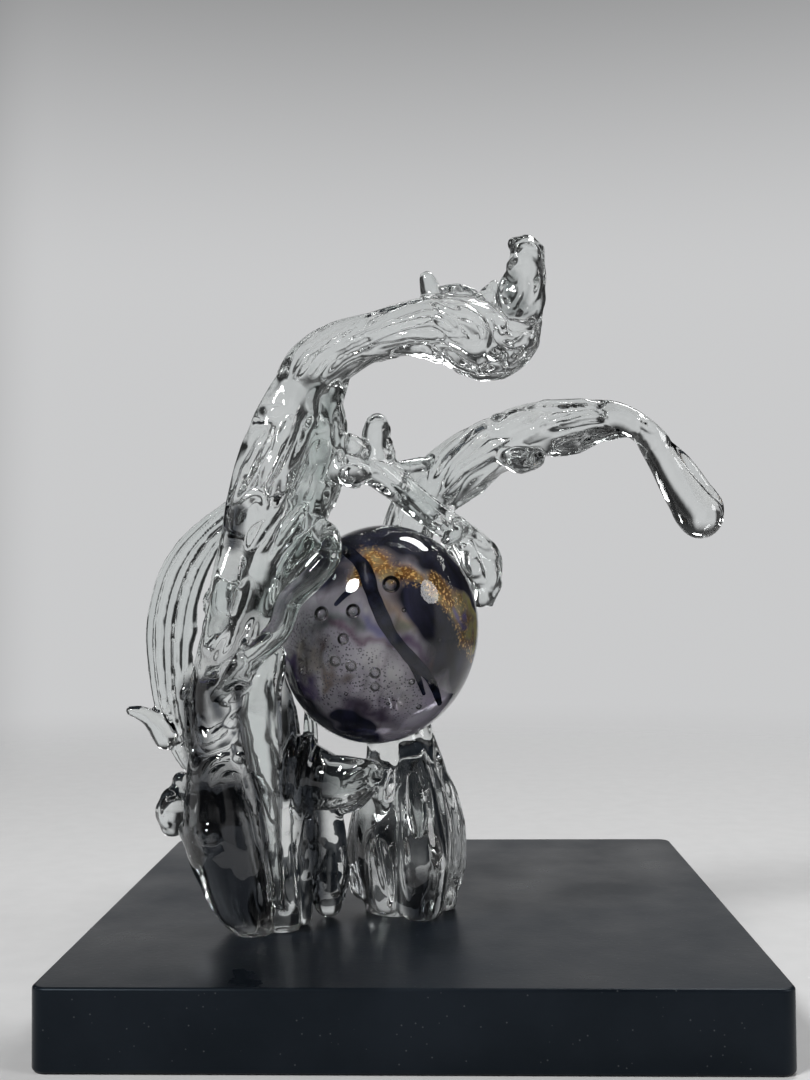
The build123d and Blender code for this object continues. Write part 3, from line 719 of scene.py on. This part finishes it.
def rear_arch():
    """The arch with its long flutes and folds, the nodule under it, and the hanging drip with its groove."""
    arch = [(396, 650, 6, 12), (398, 595, 5, 20), (404, 545, 2, 26), (418, 506, -1, 27),
            (440, 478, -5, 29), (468, 459, -10, 29), (500, 444, -16, 28), (530, 432, -22, 29),
            (560, 426, -27, 26), (590, 418, -32, 20), (615, 417, -37, 16), (640, 428, -41, 14),
            (656, 444, -44, 15)]
    nodule = [(506, 456, -28, 10), (518, 460, -29, 14), (530, 459, -29, 12)]
    nodule_end = [(526, 462, -31, 10), (536, 459, -31, 9)]
    drip = [(650, 440, -43, 14), (662, 458, -45, 16), (676, 482, -47, 18), (691, 504, -49, 21),
            (700, 516, -50, 23)]
    drip_edge = [(652, 452, -46, 5), (663, 478, -48, 6), (675, 502, -50, 7), (684, 520, -51, 8),
                 (698, 531, -51, 8), (713, 524, -51, 8), (716, 507, -50, 8), (703, 486, -48, 7),
                 (687, 463, -47, 6), (672, 446, -46, 4)]
    bodies = [drawn(arch, 6, 0.16, 1.6, seed=91), drawn(nodule, lumps=0.05, seed=92),
              drawn(nodule_end), drawn(drip, flat=0.85, seed=93), drawn(drip_edge, seed=94)]
    # Long flutes, a loop on the crown and one on the nodule, and the crease above the drip.
    strands = [
        [(428, 486, 4), (446, 456, 7), (476, 430, 7), (508, 414, 5)],
        [(436, 502, 4), (463, 469, 8), (500, 446, 8), (526, 437, 5)],
        [(450, 504, 4), (476, 478, 8), (502, 460, 6)],
        [(514, 412, 5), (546, 406, 7), (580, 405, 7), (612, 408, 5)],
        [(530, 432, 4), (560, 422, 7), (590, 416, 6), (620, 420, 4)],
        [(548, 450, 5), (574, 442, 6), (598, 430, 6), (628, 428, 5)],
        oval(502, 424, 10, 8, 4.5, start=40, sweep=300),
        oval(517, 459, 8, 7, 4.0, start=160, sweep=250),
        [(628, 414, 4), (648, 424, 5), (668, 442, 4)],
    ]
    return bodies, strands


# The ball

def orb_shell():
    """The clear outer gather of the ball: a leaning ellipsoid that the tools left very slightly uneven."""
    sides, rings = 160, 97
    unit = round_grid(sides, rings).reshape(-1, 3)
    evenness = 1 - 0.0025 * (1 + waves_of(unit, 1.3, 5))
    return new_object("orb_shell", from_ball(unit * evenness[:, None]), tube_faces(rings, sides))


def shown_through_shell(shares):
    """The pixels at which points of the core show through the bending shell, and how far the points face us.

    For a ball of one radius, a line that enters at angle a goes on at b with sin b = sin a / ior, and meets
    the core at the polar angle asin(sin b / core share) + a - b. The facing share is one in front and, past
    the last line that meets the core, falls smoothly to nothing.
    """
    eye = to_ball(CAMERA_EYE)
    axis = eye / np.linalg.norm(eye)
    unit = shares / np.linalg.norm(shares, axis=1)[:, None]
    cosine = unit @ axis
    polar = np.arccos(np.clip(cosine, -1, 1))
    enter = np.linspace(0, math.pi / 2, 200)
    inner = np.arcsin(np.sin(enter) / GLASS_IOR)
    meets = np.arcsin(np.minimum(np.sin(inner) / VEIL_SHARE, 1)) + enter - inner
    reach = np.interp(polar, meets, np.sin(enter))
    sideways = unit - cosine[:, None] * axis
    sideways /= np.maximum(np.linalg.norm(sideways, axis=1)[:, None], 1e-9)
    facing = np.clip((meets[-1] + 0.7 - polar) / 0.7, 0, 1)
    return seen_pixels(from_ball(sideways * reach[:, None])), facing * facing * (3 - 2 * facing)


# The lines that the core's gold, navy and specks follow in the photograph, and how far each reaches.
GOLD_LINES = (([(372, 564), (388, 571), (407, 580)], 24), ([(353, 576), (361, 583)], 8),
              ([(430, 580), (450, 602), (463, 628), (468, 650)], 19))
NAVY_LINES = (([(324, 562), (346, 540), (386, 528), (428, 538), (462, 570)], 44),
              ([(474, 600), (478, 650), (464, 690)], 26),
              ([(414, 594), (434, 614), (446, 642), (460, 684)], 31), ([(340, 716), (366, 730)], 16),
              ([(284, 670), (300, 706), (334, 738), (372, 746)], 18))
SPECK_LINES = (([(336, 660), (366, 682), (396, 690)], 46), ([(300, 630), (318, 660), (330, 690)], 30))

# The strokes of colour in the core: the colour, the line that shows in the photograph, and its reach. One
# white stroke is a painted highlight.
CORE_STROKES = (
    ((0.30, 0.34, 0.33), [(322, 628), (345, 622), (362, 626)], 11),
    ((0.34, 0.34, 0.64), [(362, 610), (378, 630), (394, 648)], 13),
    ((0.36, 0.25, 0.32), [(338, 628), (362, 640), (390, 648)], 7),
    ((1.0, 1.0, 0.96), [(374, 660), (392, 668), (402, 690)], 22),
    # A painted highlight: white near the top of the thread.
    ((1.0, 1.0, 1.0), [(350, 602), (362, 606)], 11),
    ((0.28, 0.20, 0.16), [(326, 645), (324, 664), (326, 682), (338, 674)], 9),
    ((0.88, 0.78, 0.64), [(306, 648), (314, 668)], 14),
    ((0.22, 0.15, 0.38), [(290, 655), (300, 676), (312, 694)], 12),
    ((0.20, 0.16, 0.22), [(352, 706), (372, 714), (388, 716)], 18),
    ((0.92, 0.86, 1.0), [(424, 702), (436, 700)], 10),
    ((1.0, 1.0, 1.0), [(444, 690), (458, 680)], 11),
    ((0.30, 0.20, 0.34), [(404, 640), (420, 652), (434, 664)], 13),
    ((0.85, 0.28, 0.10), [(438, 654), (446, 664)], 10),
    ((0.84, 0.68, 0.50), [(384, 602), (400, 622), (416, 616)], 14),
    ((0.50, 0.52, 0.38), [(396, 624), (408, 626)], 9),
    ((0.40, 0.10, 0.06), [(400, 580), (416, 590), (428, 602)], 10),
)
# A painted glint along the ball's right edge, in yellow and violet.
PAINTED_GLINT = (
    ((1.0, 0.90, 0.30), [(461, 598), (471, 620), (474, 642)], 8),
    ((0.60, 0.46, 0.96), [(456, 610), (463, 630)], 7),
)
THIN_SMOKE, THICK_SMOKE = np.array([0.96, 0.95, 0.97]), np.array([0.78, 0.75, 0.82])


def orb_veil():
    """The coloured core: "veils" holds its gold, navy, specks and smoke, and "tints" its colours, a painted
    highlight and a painted glint among them.
    """
    sides, rings = 220, 131
    unit = round_grid(sides, rings).reshape(-1, 3)
    piece = new_object("orb_veil", from_ball(unit * VEIL_SHARE), tube_faces(rings, sides))
    shown, ahead = shown_through_shell(unit)
    shown = shown + 4.5 * np.column_stack([waves_of(unit, 0.4, 21), waves_of(unit, 0.4, 22)])
    swirled = shown + 2.4 * np.column_stack([waves_of(unit, 0.16, 23), waves_of(unit, 0.16, 24)])
    gold = near_any(shown, GOLD_LINES) * ahead
    navy = np.clip(near_any(shown, NAVY_LINES) * ahead - 0.5 * gold, 0, 1)
    navy = np.maximum(navy, np.clip(waves_of(unit, 0.9, 31), 0, 0.55) * (1 - ahead))
    specks = near_any(shown, SPECK_LINES) * ahead
    smoke = np.clip(0.42 + 0.16 * waves_of(unit, 0.55, 8), 0, 1)
    smoke = np.maximum(smoke, 0.95 * (1 - ahead))
    tint = (1 - smoke[:, None]) * THIN_SMOKE + smoke[:, None] * THICK_SMOKE
    # The strokes, the painted highlight and the painted glint are laid into the tints.
    for colour, line, reach in CORE_STROKES + PAINTED_GLINT:
        stroke = (near_line(swirled, line, reach) * ahead)[:, None]
        tint = tint * (1 - stroke) + np.array(colour) * stroke
    # Gold and navy are cleared under the painted glint.
    dull = 1 - near_any(swirled, [stroke[1:] for stroke in PAINTED_GLINT]) * ahead
    paint(piece.data, "tints", np.column_stack([tint, np.ones(len(unit))]))
    paint(piece.data, "veils", np.column_stack([gold * dull, navy * dull, specks, smoke]))
    return piece


def orb_band():
    """The black S-shaped thread and its two short side wisps, drawn inside the ball."""
    band = [(336, 546, 5, 4), (350, 553, 6, 6), (364, 568, 6, 7), (372, 592, 6, 7), (380, 612, 6, 7),
            (390, 632, 6, 6), (408, 655, 6, 6), (428, 676, 6, 5), (440, 704, 6, 3)]
    wisp = [(336, 604, 6, 2), (346, 594, 6, 3), (356, 588, 6, 2)]
    lower = [(392, 636, 7, 3), (412, 664, 7, 3.5), (424, 694, 7, 2)]
    tubes = [limb(inside_ball(rows), flat=0.35, lumps=0.06, seed=k)
             for k, rows in enumerate((band, wisp, lower))]
    return new_object("orb_band", *joined(tubes))


def orb_bubbles():
    """The round bubbles trapped between the casing and the core."""
    places = [(391, 584, 5, 9), (321, 614, 5, 8), (353, 611, 5, 7.5), (343, 639, 5, 6), (335, 661, 5, 6),
              (351, 666, 5, 6), (375, 673, 5, 6), (375, 687, 5, 5), (412, 682, 4.5, 3.5),
              (431, 682, 4.5, 3.5), (419, 707, 4, 3), (440, 640, 4, 2), (404, 610, 4, 2.4),
              (360, 650, 4, 2.2), (326, 640, 4, 2), (388, 704, 4, 2), (346, 694, 4, 2), (452, 622, 4, 1.8)]
    sides, rings = 28, 17
    bubbles = [row[:3] + round_grid(sides, rings) * row[3] for row in inside_ball(places)]
    return new_object("orb_bubbles", *joined(bubbles))


# The slab

def black_slab():
    """The square slab: rounded upright corners, and edges eased along a quarter circle above and below."""
    half = (slab_high[0] - slab_low[0]) / 2
    middle = (slab_low + slab_high) / 2
    turns = np.linspace(0, math.pi / 2, 10)
    bow = np.linspace(0, math.pi / 2, 6)
    sunk, spread = SLAB_EASE * (1 - np.sin(bow)), SLAB_EASE * (1 - np.cos(bow))
    inset = np.concatenate([sunk, spread])
    level = np.concatenate([slab_low[2] + spread, slab_high[2] - sunk])
    rings = []
    for step, height in zip(inset, level):
        outline = []
        for quarter, (east, north) in enumerate(((1, 1), (-1, 1), (-1, -1), (1, -1))):
            angle = turns + quarter * math.pi / 2
            radius = SLAB_CORNER - step
            outline.append(np.column_stack([east * (half - SLAB_CORNER) + radius * np.cos(angle),
                                            north * (half - SLAB_CORNER) + radius * np.sin(angle)]))
        outline = np.vstack(outline) + middle[:2]
        rings.append(np.column_stack([outline, np.full(len(outline), height)]))
    rings = np.array(rings)
    piece = new_object("black_slab", rings.reshape(-1, 3), tube_faces(*rings.shape[:2]))
    piece.data.polygons.foreach_set("use_smooth", [len(face.vertices) == 4 for face in piece.data.polygons])
    return piece


# Finishes

def add_node(tree, kind, inputs=None, **settings):
    """A node with these settings; inputs are values or other nodes' outputs, by socket name or number."""
    node = tree.nodes.new(kind)
    for key, value in settings.items():
        setattr(node, key, value)
    for key, value in (inputs or {}).items():
        if isinstance(value, bpy.types.NodeSocket):
            tree.links.new(value, node.inputs[key])
        else:
            node.inputs[key].default_value = value
    return node


def add_span(tree, value, low, high, bottom=0.0, top=1.0, curve="LINEAR"):
    """The value carried from low and high to bottom and top, and held there beyond them."""
    ends = {"Value": value, "From Min": low, "From Max": high, "To Min": bottom, "To Max": top}
    return add_node(tree, "ShaderNodeMapRange", ends, interpolation_type=curve).outputs[0]


class Finish:
    """A node material under construction, laid out over the piece's own coordinates."""

    def __init__(self, name):
        self.material = bpy.data.materials.new(name)
        self.material.use_nodes = True
        self.tree = self.material.node_tree
        self.tree.nodes.clear()
        self.output = self.node("ShaderNodeOutputMaterial")
        self.place = self.node("ShaderNodeTexCoord").outputs["Object"]

    def node(self, kind, inputs=None, **settings):
        """A node of this material."""
        return add_node(self.tree, kind, inputs, **settings)

    def stretched(self, scale, turn):
        """The coordinates turned about Y and stretched along each axis, for streaks."""
        inputs = {"Vector": self.place, "Scale": scale, "Rotation": (0, turn, 0)}
        return self.node("ShaderNodeMapping", inputs).outputs[0]

    def noise(self, scale, detail, distortion=0.0, vector=None):
        """Cloudy unevenness from nought to one."""
        place = self.place if vector is None else vector
        inputs = {"Vector": place, "Scale": scale, "Detail": detail, "Distortion": distortion}
        return self.node("ShaderNodeTexNoise", inputs).outputs["Fac"]

    def cells(self, scale):
        """The distance to the nearest of many scattered points."""
        return self.node("ShaderNodeTexVoronoi", {"Vector": self.place, "Scale": scale}).outputs["Distance"]

    def span(self, value, low, high, bottom=0.0, top=1.0, curve="LINEAR"):
        """The value carried from low and high to bottom and top."""
        return add_span(self.tree, value, low, high, bottom, top, curve)

    def reckon(self, operation, first, second):
        """The sum or product of two values."""
        return self.node("ShaderNodeMath", {0: first, 1: second}, operation=operation).outputs[0]

    def painted(self, name):
        """The red, green, blue and alpha of a colour attribute."""
        layer = self.node("ShaderNodeAttribute", attribute_name=name)
        parts = self.node("ShaderNodeSeparateColor", {"Color": layer.outputs["Color"]}).outputs
        return parts[0], parts[1], parts[2], layer.outputs["Alpha"]

    def mixed(self, factor, first, second, blend="MIX"):
        """The second colour laid over the first by a factor."""
        inputs = {"Factor": factor, 6: first, 7: second}
        return self.node("ShaderNodeMix", inputs, data_type="RGBA", blend_type=blend).outputs[2]

    def ramp(self, factor, stops):
        """A colour ramp over factor with stops of (place, colour)."""
        node = self.node("ShaderNodeValToRGB", {"Fac": factor})
        node.color_ramp.elements[0].position, node.color_ramp.elements[0].color = stops[0]
        node.color_ramp.elements[1].position, node.color_ramp.elements[1].color = stops[-1]
        for place, colour in stops[1:-1]:
            node.color_ramp.elements.new(place).color = colour
        return node.outputs["Color"]

    def bump(self, height, strength, distance):
        """A normal that follows a height."""
        inputs = {"Strength": strength, "Distance": distance, "Height": height}
        return self.node("ShaderNodeBump", inputs).outputs[0]

    def surface(self, colour, roughness, others=None):
        """A surface of this colour and roughness, with values for other sockets by name."""
        inputs = {"Base Color": colour, "Roughness": roughness, **(others or {})}
        return self.node("ShaderNodeBsdfPrincipled", inputs).outputs[0]

    def over(self, factor, below, above):
        """One surface over another by a factor."""
        return self.node("ShaderNodeMixShader", {0: factor, 1: below, 2: above}).outputs[0]

    def show(self, shader):
        """The material, with this surface."""
        self.tree.links.new(shader, self.output.inputs["Surface"])
        return self.material


# GREEN_CAST is the glass's green tint; PAINTED_SHADE_COLOUR is near black, laid on as painted shade where
# the glass is to look dark.
GREEN_CAST, PAINTED_SHADE_COLOUR = (0.52, 0.60, 0.57, 1), (0.02, 0.023, 0.028, 1)


def clear_glass(name, tint, cast):
    """Clear hot-worked glass: faint draw lines and ripples in its surface, a cast that drifts, a green cast
    in places and painted shade that darkens it in others.
    """
    finish = Finish(name)
    lines = finish.noise(1.0, 3.0, 0.6, vector=finish.stretched((150, 150, 42), 0.5))
    cloud = finish.noise(14.0, 3.0)
    ripples = finish.reckon("ADD", lines, finish.noise(90.0, 2.0))
    # The attribute's first channel gives the green cast and its second channel gives painted shade.
    green, painted_shade = finish.painted("green_and_painted_shade")[:2]
    colour = finish.ramp(cloud, [(0.35, tint), (0.7, cast)])
    colour = finish.mixed(painted_shade, finish.mixed(green, colour, GREEN_CAST), PAINTED_SHADE_COLOUR)
    haze = finish.span(cloud, 0.45, 0.8, 0.0, 0.02)
    bump = finish.bump(ripples, 0.06, 0.0009)
    return finish.show(finish.surface(colour, haze, {"IOR": GLASS_IOR, "Transmission Weight": 1.0,
                                                     "Normal": bump}))


def bubble_glass():
    """The inside of a bubble: light leaves the glass for air."""
    finish = Finish("trapped_air")
    colour = finish.ramp(finish.noise(220.0, 2.0), [(0.3, (0.92, 0.92, 0.94, 1)), (0.7, (1, 1, 1, 1))])
    return finish.show(finish.surface(colour, 0.0, {"IOR": 1 / GLASS_IOR, "Transmission Weight": 1.0}))


def veil_glass():
    """The core: strokes of colour with a painted highlight and a painted glint, navy and gold veils, smoke,
    metal flecks and a dust of dark specks.
    """
    finish = Finish("smoky_veils")
    gold, navy, specks, smoke = finish.painted("veils")
    tints = finish.node("ShaderNodeAttribute", attribute_name="tints").outputs["Color"]
    strands = finish.noise(1.0, 5.0, 1.2, vector=finish.stretched((120, 60, 60), 0.8))
    grain = finish.noise(900.0, 2.0)
    streaks = finish.ramp(strands, [(0.32, (0.70, 0.66, 0.70, 1)), (0.5, (0.95, 0.94, 0.96, 1)),
                                    (0.62, (1, 1, 1, 1))])
    amber = finish.ramp(strands, [(0.34, (0.16, 0.05, 0.01, 1)), (0.5, (0.72, 0.33, 0.07, 1)),
                                  (0.66, (0.98, 0.84, 0.42, 1))])
    blue = finish.ramp(strands, [(0.35, (0.006, 0.008, 0.020, 1)), (0.65, (0.035, 0.038, 0.10, 1))])
    colour = finish.mixed(1.0, tints, streaks, "MULTIPLY")
    colour = finish.mixed(finish.span(gold, 0.1, 0.7), colour, amber)
    colour = finish.mixed(finish.span(navy, 0.08, 0.5), colour, blue)
    clear = finish.node("ShaderNodeBsdfTransparent", {"Color": colour}).outputs[0]
    glass = finish.over(finish.span(smoke, 0.2, 1.0, 0.16, 0.8), clear, finish.surface(colour, 0.5))
    metal = finish.ramp(grain, [(0.4, (0.55, 0.22, 0.05, 1)), (0.6, (1.0, 0.66, 0.22, 1))])
    flecks = finish.reckon("MULTIPLY", finish.span(gold, 0.2, 0.9), finish.span(grain, 0.56, 0.62))
    glass = finish.over(flecks, glass, finish.surface(metal, 0.35, {"Metallic": 0.6}))
    dots = finish.span(finish.cells(760.0), 0.36, 0.24)
    dust = finish.reckon("MULTIPLY", finish.span(specks, 0.1, 0.8), dots)
    return finish.show(finish.over(dust, glass, finish.surface((0.02, 0.015, 0.03, 1), 0.4)))


def band_glass():
    """The black thread in the ball: near-black glass, navy in places."""
    finish = Finish("black_thread")
    colour = finish.ramp(finish.noise(160.0, 3.0), [(0.35, (0.002, 0.003, 0.008, 1)),
                                                    (0.75, (0.02, 0.025, 0.06, 1))])
    return finish.show(finish.surface(colour, 0.25, {"Specular IOR Level": 0.1}))


def black_lacquer():
    """Satin black lacquer on the slab: faint cloudiness, fine dust and a soft bluish sheen."""
    finish = Finish("satin_black_lacquer")
    cloud = finish.noise(22.0, 5.0)
    dust = finish.span(finish.cells(230.0), 0.10, 0.04, 0.0, 0.35)
    lacquer = finish.ramp(cloud, [(0.3, (0.004, 0.006, 0.009, 1)), (0.7, (0.009, 0.012, 0.017, 1))])
    colour = finish.mixed(dust, lacquer, (0.16, 0.17, 0.18, 1))
    satin = finish.span(cloud, 0.3, 0.7, 0.26, 0.40)
    peel = finish.bump(finish.noise(420.0, 2.0), 0.12, 0.0004)
    sheen = {"Specular IOR Level": 0.16, "Specular Tint": (0.70, 0.86, 1.0, 1), "Normal": peel}
    return finish.show(finish.surface(colour, satin, sheen))


def pale_floor():
    """Pale matt sweep that fades out with distance, so it meets the backdrop without an edge."""
    finish = Finish("pale_sweep")
    distance = finish.node("ShaderNodeVectorMath", {0: finish.place}, operation="LENGTH").outputs["Value"]
    fade = finish.span(distance, 0.35, 1.5, curve="SMOOTHSTEP")
    grain = finish.noise(60.0, 4.0)
    colour = finish.ramp(grain, [(0.3, (0.66, 0.66, 0.66, 1)), (0.7, (0.69, 0.69, 0.69, 1))])
    away = finish.node("ShaderNodeBsdfTransparent").outputs[0]
    return finish.show(finish.over(fade, finish.surface(colour, 0.8), away))


# The studio

def studio_walls():
    """The world: pale walls with four dark upright panels, under a dark ceiling and over a pale ground.

    The panels stand where the cosine of four times the azimuth is low: at 45, 135, 225 and 315 degrees.
    """
    world = bpy.data.worlds.new("studio")
    bpy.context.scene.world = world
    world.use_nodes = True
    tree = world.node_tree
    tree.nodes.clear()
    direction = add_node(tree, "ShaderNodeTexCoord").outputs["Generated"]
    east, north, height = add_node(tree, "ShaderNodeSeparateXYZ", {0: direction}).outputs
    azimuth = add_node(tree, "ShaderNodeMath", {0: north, 1: east}, operation="ARCTAN2").outputs[0]
    fourfold = add_node(tree, "ShaderNodeMath", {0: azimuth, 1: 4.0}, operation="MULTIPLY").outputs[0]
    wave = add_node(tree, "ShaderNodeMath", {0: fourfold}, operation="COSINE").outputs[0]
    level = add_span(tree, wave, -0.25, 0.40, PANEL_LEVEL, WALL_LEVEL, "SMOOTHSTEP")
    for low, high, plain in ((0.20, 0.62, CEILING_LEVEL), (-0.10, -0.24, GROUND_LEVEL)):
        share = add_span(tree, height, low, high, curve="SMOOTHSTEP")
        level = add_node(tree, "ShaderNodeMix", {"Factor": share, 2: level, 3: plain}).outputs[0]
    light = add_node(tree, "ShaderNodeBackground", {"Color": (0.985, 0.99, 1.0, 1), "Strength": level})
    output = add_node(tree, "ShaderNodeOutputWorld")
    tree.links.new(light.outputs[0], output.inputs["Surface"])


def put(name, data, right, up, back, place):
    """A lamp or camera at this place, with these axes."""
    holder = bpy.data.objects.new(name, data)
    bpy.context.scene.collection.objects.link(holder)
    holder.matrix_world = Matrix([[right[k], up[k], back[k], place[k]] for k in range(3)] + [[0, 0, 0, 1]])
    return holder


def studio():
    """A pale floor under a soft grey studio, three soft lamps, and the photograph's camera."""
    studio_walls()
    sides = 96
    turn = np.linspace(0, 2 * math.pi, sides, endpoint=False)
    disc = np.column_stack([FLOOR_RADIUS * np.cos(turn), FLOOR_RADIUS * np.sin(turn),
                            np.full(sides, slab_low[2] - FLOOR_DROP)])
    floor = new_object("pale_floor", disc, [list(range(sides))], smooth=False)
    floor.data.materials.append(pale_floor())
    for name, place, size, watts in LAMPS:
        data = bpy.data.lights.new(name, "AREA")
        data.shape = "DISK"
        data.size = size
        data.energy = watts
        back = np.array(place) - np.array(LAMP_TARGET)
        back = back / np.linalg.norm(back)
        right = np.cross([0.0, 0.0, 1.0], back)
        right /= np.linalg.norm(right)
        put(name, data, right, np.cross(back, right), back, place)
    data = bpy.data.cameras.new("photo_camera")
    data.sensor_fit = "AUTO"
    data.sensor_width = FILM_WIDTH
    data.lens = FOCAL_PIXELS * FILM_WIDTH / max(FRAME_PIXELS)
    bpy.context.scene.camera = put("photo_camera", data, RIGHT, UP, -FORWARD, CAMERA_EYE)
    bpy.context.scene.view_settings.view_transform = "Standard"


# Putting it together

FRONT_NODES = ("front_column", "front_trunk", "twist_strand", "crest_arch", "crest_knot", "crest_curl",
               "front_heel", "front_toe", "lower_spur", "heel_knob_large", "heel_knob_small",
               "heel_knob_low", "side_fin", "fin_prong", "inner_strand", "horn_left", "horn_right",
               "orb_palm", "cross_arm", "arm_root_knob", "arm_thumb", "arm_hand", "bridge")
REAR_NODES = ("rear_foot", "rear_column", "arch_rise", "arch_crown", "arch_drip", "arch_nodule")
KNOT_MIDDLE = at_depth([(490, 325, -50, 1)])[0, :3]
ARCH_MIDDLE = at_depth([(365, 345, -52, 1)])[0, :3]
LOOP_LINE = [(304, 516), (316, 460), (322, 396)]


def about(points, middle, reach):
    """One about the middle, falling to nothing past this reach in millimetres."""
    return np.exp(-(np.linalg.norm(points - middle, axis=1) / (reach * MM)) ** 4)


def front_wrinkles(points):
    """Small ripples everywhere, strong ones about the knot, curl and loops, and a nearly smooth arch."""
    soft = 0.08 * waves_of(points, 14 * MM, 1) * (1 - 0.7 * about(points, ARCH_MIDDLE, 24))
    loops = 0.8 * near_line(seen_pixels(points), LOOP_LINE, 30)
    sharp = 0.26 * waves_of(points, 7 * MM, 2) * np.maximum(about(points, KNOT_MIDDLE, 26), loops)
    return (soft + sharp) * MM


def front_softness(points):
    """The fin's ribs, the knot, the curl and the neck's loops stay crisp; the rest runs smooth."""
    shown = seen_pixels(points)
    lines = near_any(shown, [([(196, 530), (168, 580), (158, 640), (166, 710)], 52), (LOOP_LINE, 34)])
    return SKIN_PASSES - 1.1 * np.maximum(about(points, KNOT_MIDDLE, 30), lines)


def front_green_and_shade(points):
    """How green the front glass is and where painted shade darkens it: greenest in palm and inner strand,
    darkest painted shade in the heel.
    """
    shown = seen_pixels(points)
    green = near_any(shown, [([(268, 600), (300, 570), (326, 545)], 48),
                             ([(290, 560), (312, 490), (322, 430), (326, 395)], 34)])
    # Painted shade: dark strokes through the heel, down the trunk's edges and folds, under the spur and down
    # the toes.
    painted_shade = near_any(shown, [
        ([(246, 905), (230, 860), (220, 800)], 56), ([(194, 690), (198, 740), (206, 790)], 20),
        ([(290, 664), (293, 720), (289, 790)], 13), ([(300, 768), (318, 784)], 34),
        ([(308, 790), (312, 840), (318, 895)], 20), ([(238, 690), (242, 735), (256, 790), (268, 860)], 8),
        ([(237, 510), (232, 545)], 12), ([(213, 694), (219, 714)], 13)])
    # The spur and the curl get both a green cast and painted shade; shade is a line of painted shade beside
    # the panel.
    spur = near_line(shown, [(318, 778), (350, 780), (376, 770)], 24)
    shade = near_line(shown, [(254, 596), (242, 640), (226, 682)], 15)
    curl = near_line(shown, [(511, 280), (514, 306)], 15)
    wisps = np.clip(0.5 + 0.6 * waves_of(points, 12 * MM, 41), 0, 1)
    # Streaks of painted shade about the neck's loops.
    streaks = near_line(shown, LOOP_LINE, 32) * np.clip(waves_of(points * (1, 1, 0.4), 7 * MM, 42), 0, 1)
    green = np.maximum.reduce([green * (0.35 + 0.65 * wisps), 0.6 * spur, 0.7 * curl])
    painted_shade = 1 - (1 - np.maximum.reduce([painted_shade, 0.3 * spur, 0.3 * shade, 0.35 * curl, 0.35 * streaks])) ** 2
    return np.column_stack([green, painted_shade, np.zeros(len(points)), np.ones(len(points))])


def rear_wrinkles(points):
    """Slow ripples in the rear wave."""
    return 0.08 * MM * waves_of(points, 14 * MM, 3)


def rear_softness(points):
    """The same soft run over the whole rear wave."""
    return np.full(len(points), SKIN_PASSES)


def rear_painted_shade(points):
    """Painted shade in the rear wave: darker toward its foot, most of all in the front lobe's base and down
    the left.
    """
    shown = seen_pixels(points)
    # Painted shade: darker toward the foot, and along dark lines in the front lobe and down the left.
    foot = 0.25 * np.clip((SLAB_TOP + 70 * MM - points[:, 2]) / (70 * MM), 0, 1)
    painted_shade = np.maximum.reduce([foot, near_line(shown, [(421, 882), (421, 912)], 28),
                              0.8 * near_line(shown, [(356, 826), (360, 894)], 20),
                              0.6 * near_line(shown, [(389, 830), (391, 866)], 16)])
    painted_shade = 1 - (1 - painted_shade) ** 2
    return np.column_stack([np.zeros(len(points)), painted_shade, np.zeros(len(points)), np.ones(len(points))])


def limbs_of(parts):
    """The limbs of all these parts, with all their strands laid on them."""
    return with_strands(sum((bodies for bodies, strands in parts), []),
                        sum((strands for bodies, strands in parts), []))


def finish_piece(piece, slot, material, *nodes):
    """The piece rides on the one body, takes its finish and stands for these CAD nodes."""
    piece.data.materials.append(material)
    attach(piece, "root")
    if nodes:
        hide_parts(*nodes)


glass = clear_glass("clear_hot_glass", (0.93, 0.947, 0.942, 1), (0.83, 0.868, 0.858, 1))
orb_glass = clear_glass("orb_casing_glass", (0.97, 0.965, 0.98, 1), (0.94, 0.93, 0.96, 1))
front_limbs = limbs_of([front_foot(), front_trunk(), front_neck(), crest(), side_fin(), heel_knobs(),
                        lower_spur(), orb_palm(), cross_arm()])
rear_limbs = limbs_of([rear_foot(), rear_arch()])
front_skin = melt_together("front_wave_skin", front_limbs, front_softness, front_wrinkles, front_green_and_shade)
finish_piece(front_skin, "clear_glass", glass, *FRONT_NODES)
rear_skin = melt_together("rear_wave_skin", rear_limbs, rear_softness, rear_wrinkles, rear_painted_shade)
finish_piece(rear_skin, "clear_glass", glass, *REAR_NODES)
finish_piece(orb_shell(), "orb_clear_glass", orb_glass, "orb_casing")
finish_piece(orb_veil(), "orb_smoky_glass", veil_glass(), "orb_core")
finish_piece(orb_band(), "orb_smoky_glass", band_glass())
finish_piece(orb_bubbles(), "orb_clear_glass", bubble_glass())
finish_piece(black_slab(), "black_lacquer", black_lacquer(), "display_base")
studio()

cycles = bpy.context.scene.cycles
cycles.max_bounces = LIGHT_BOUNCES
cycles.transmission_bounces = LIGHT_BOUNCES
cycles.transparent_max_bounces = LIGHT_BOUNCES
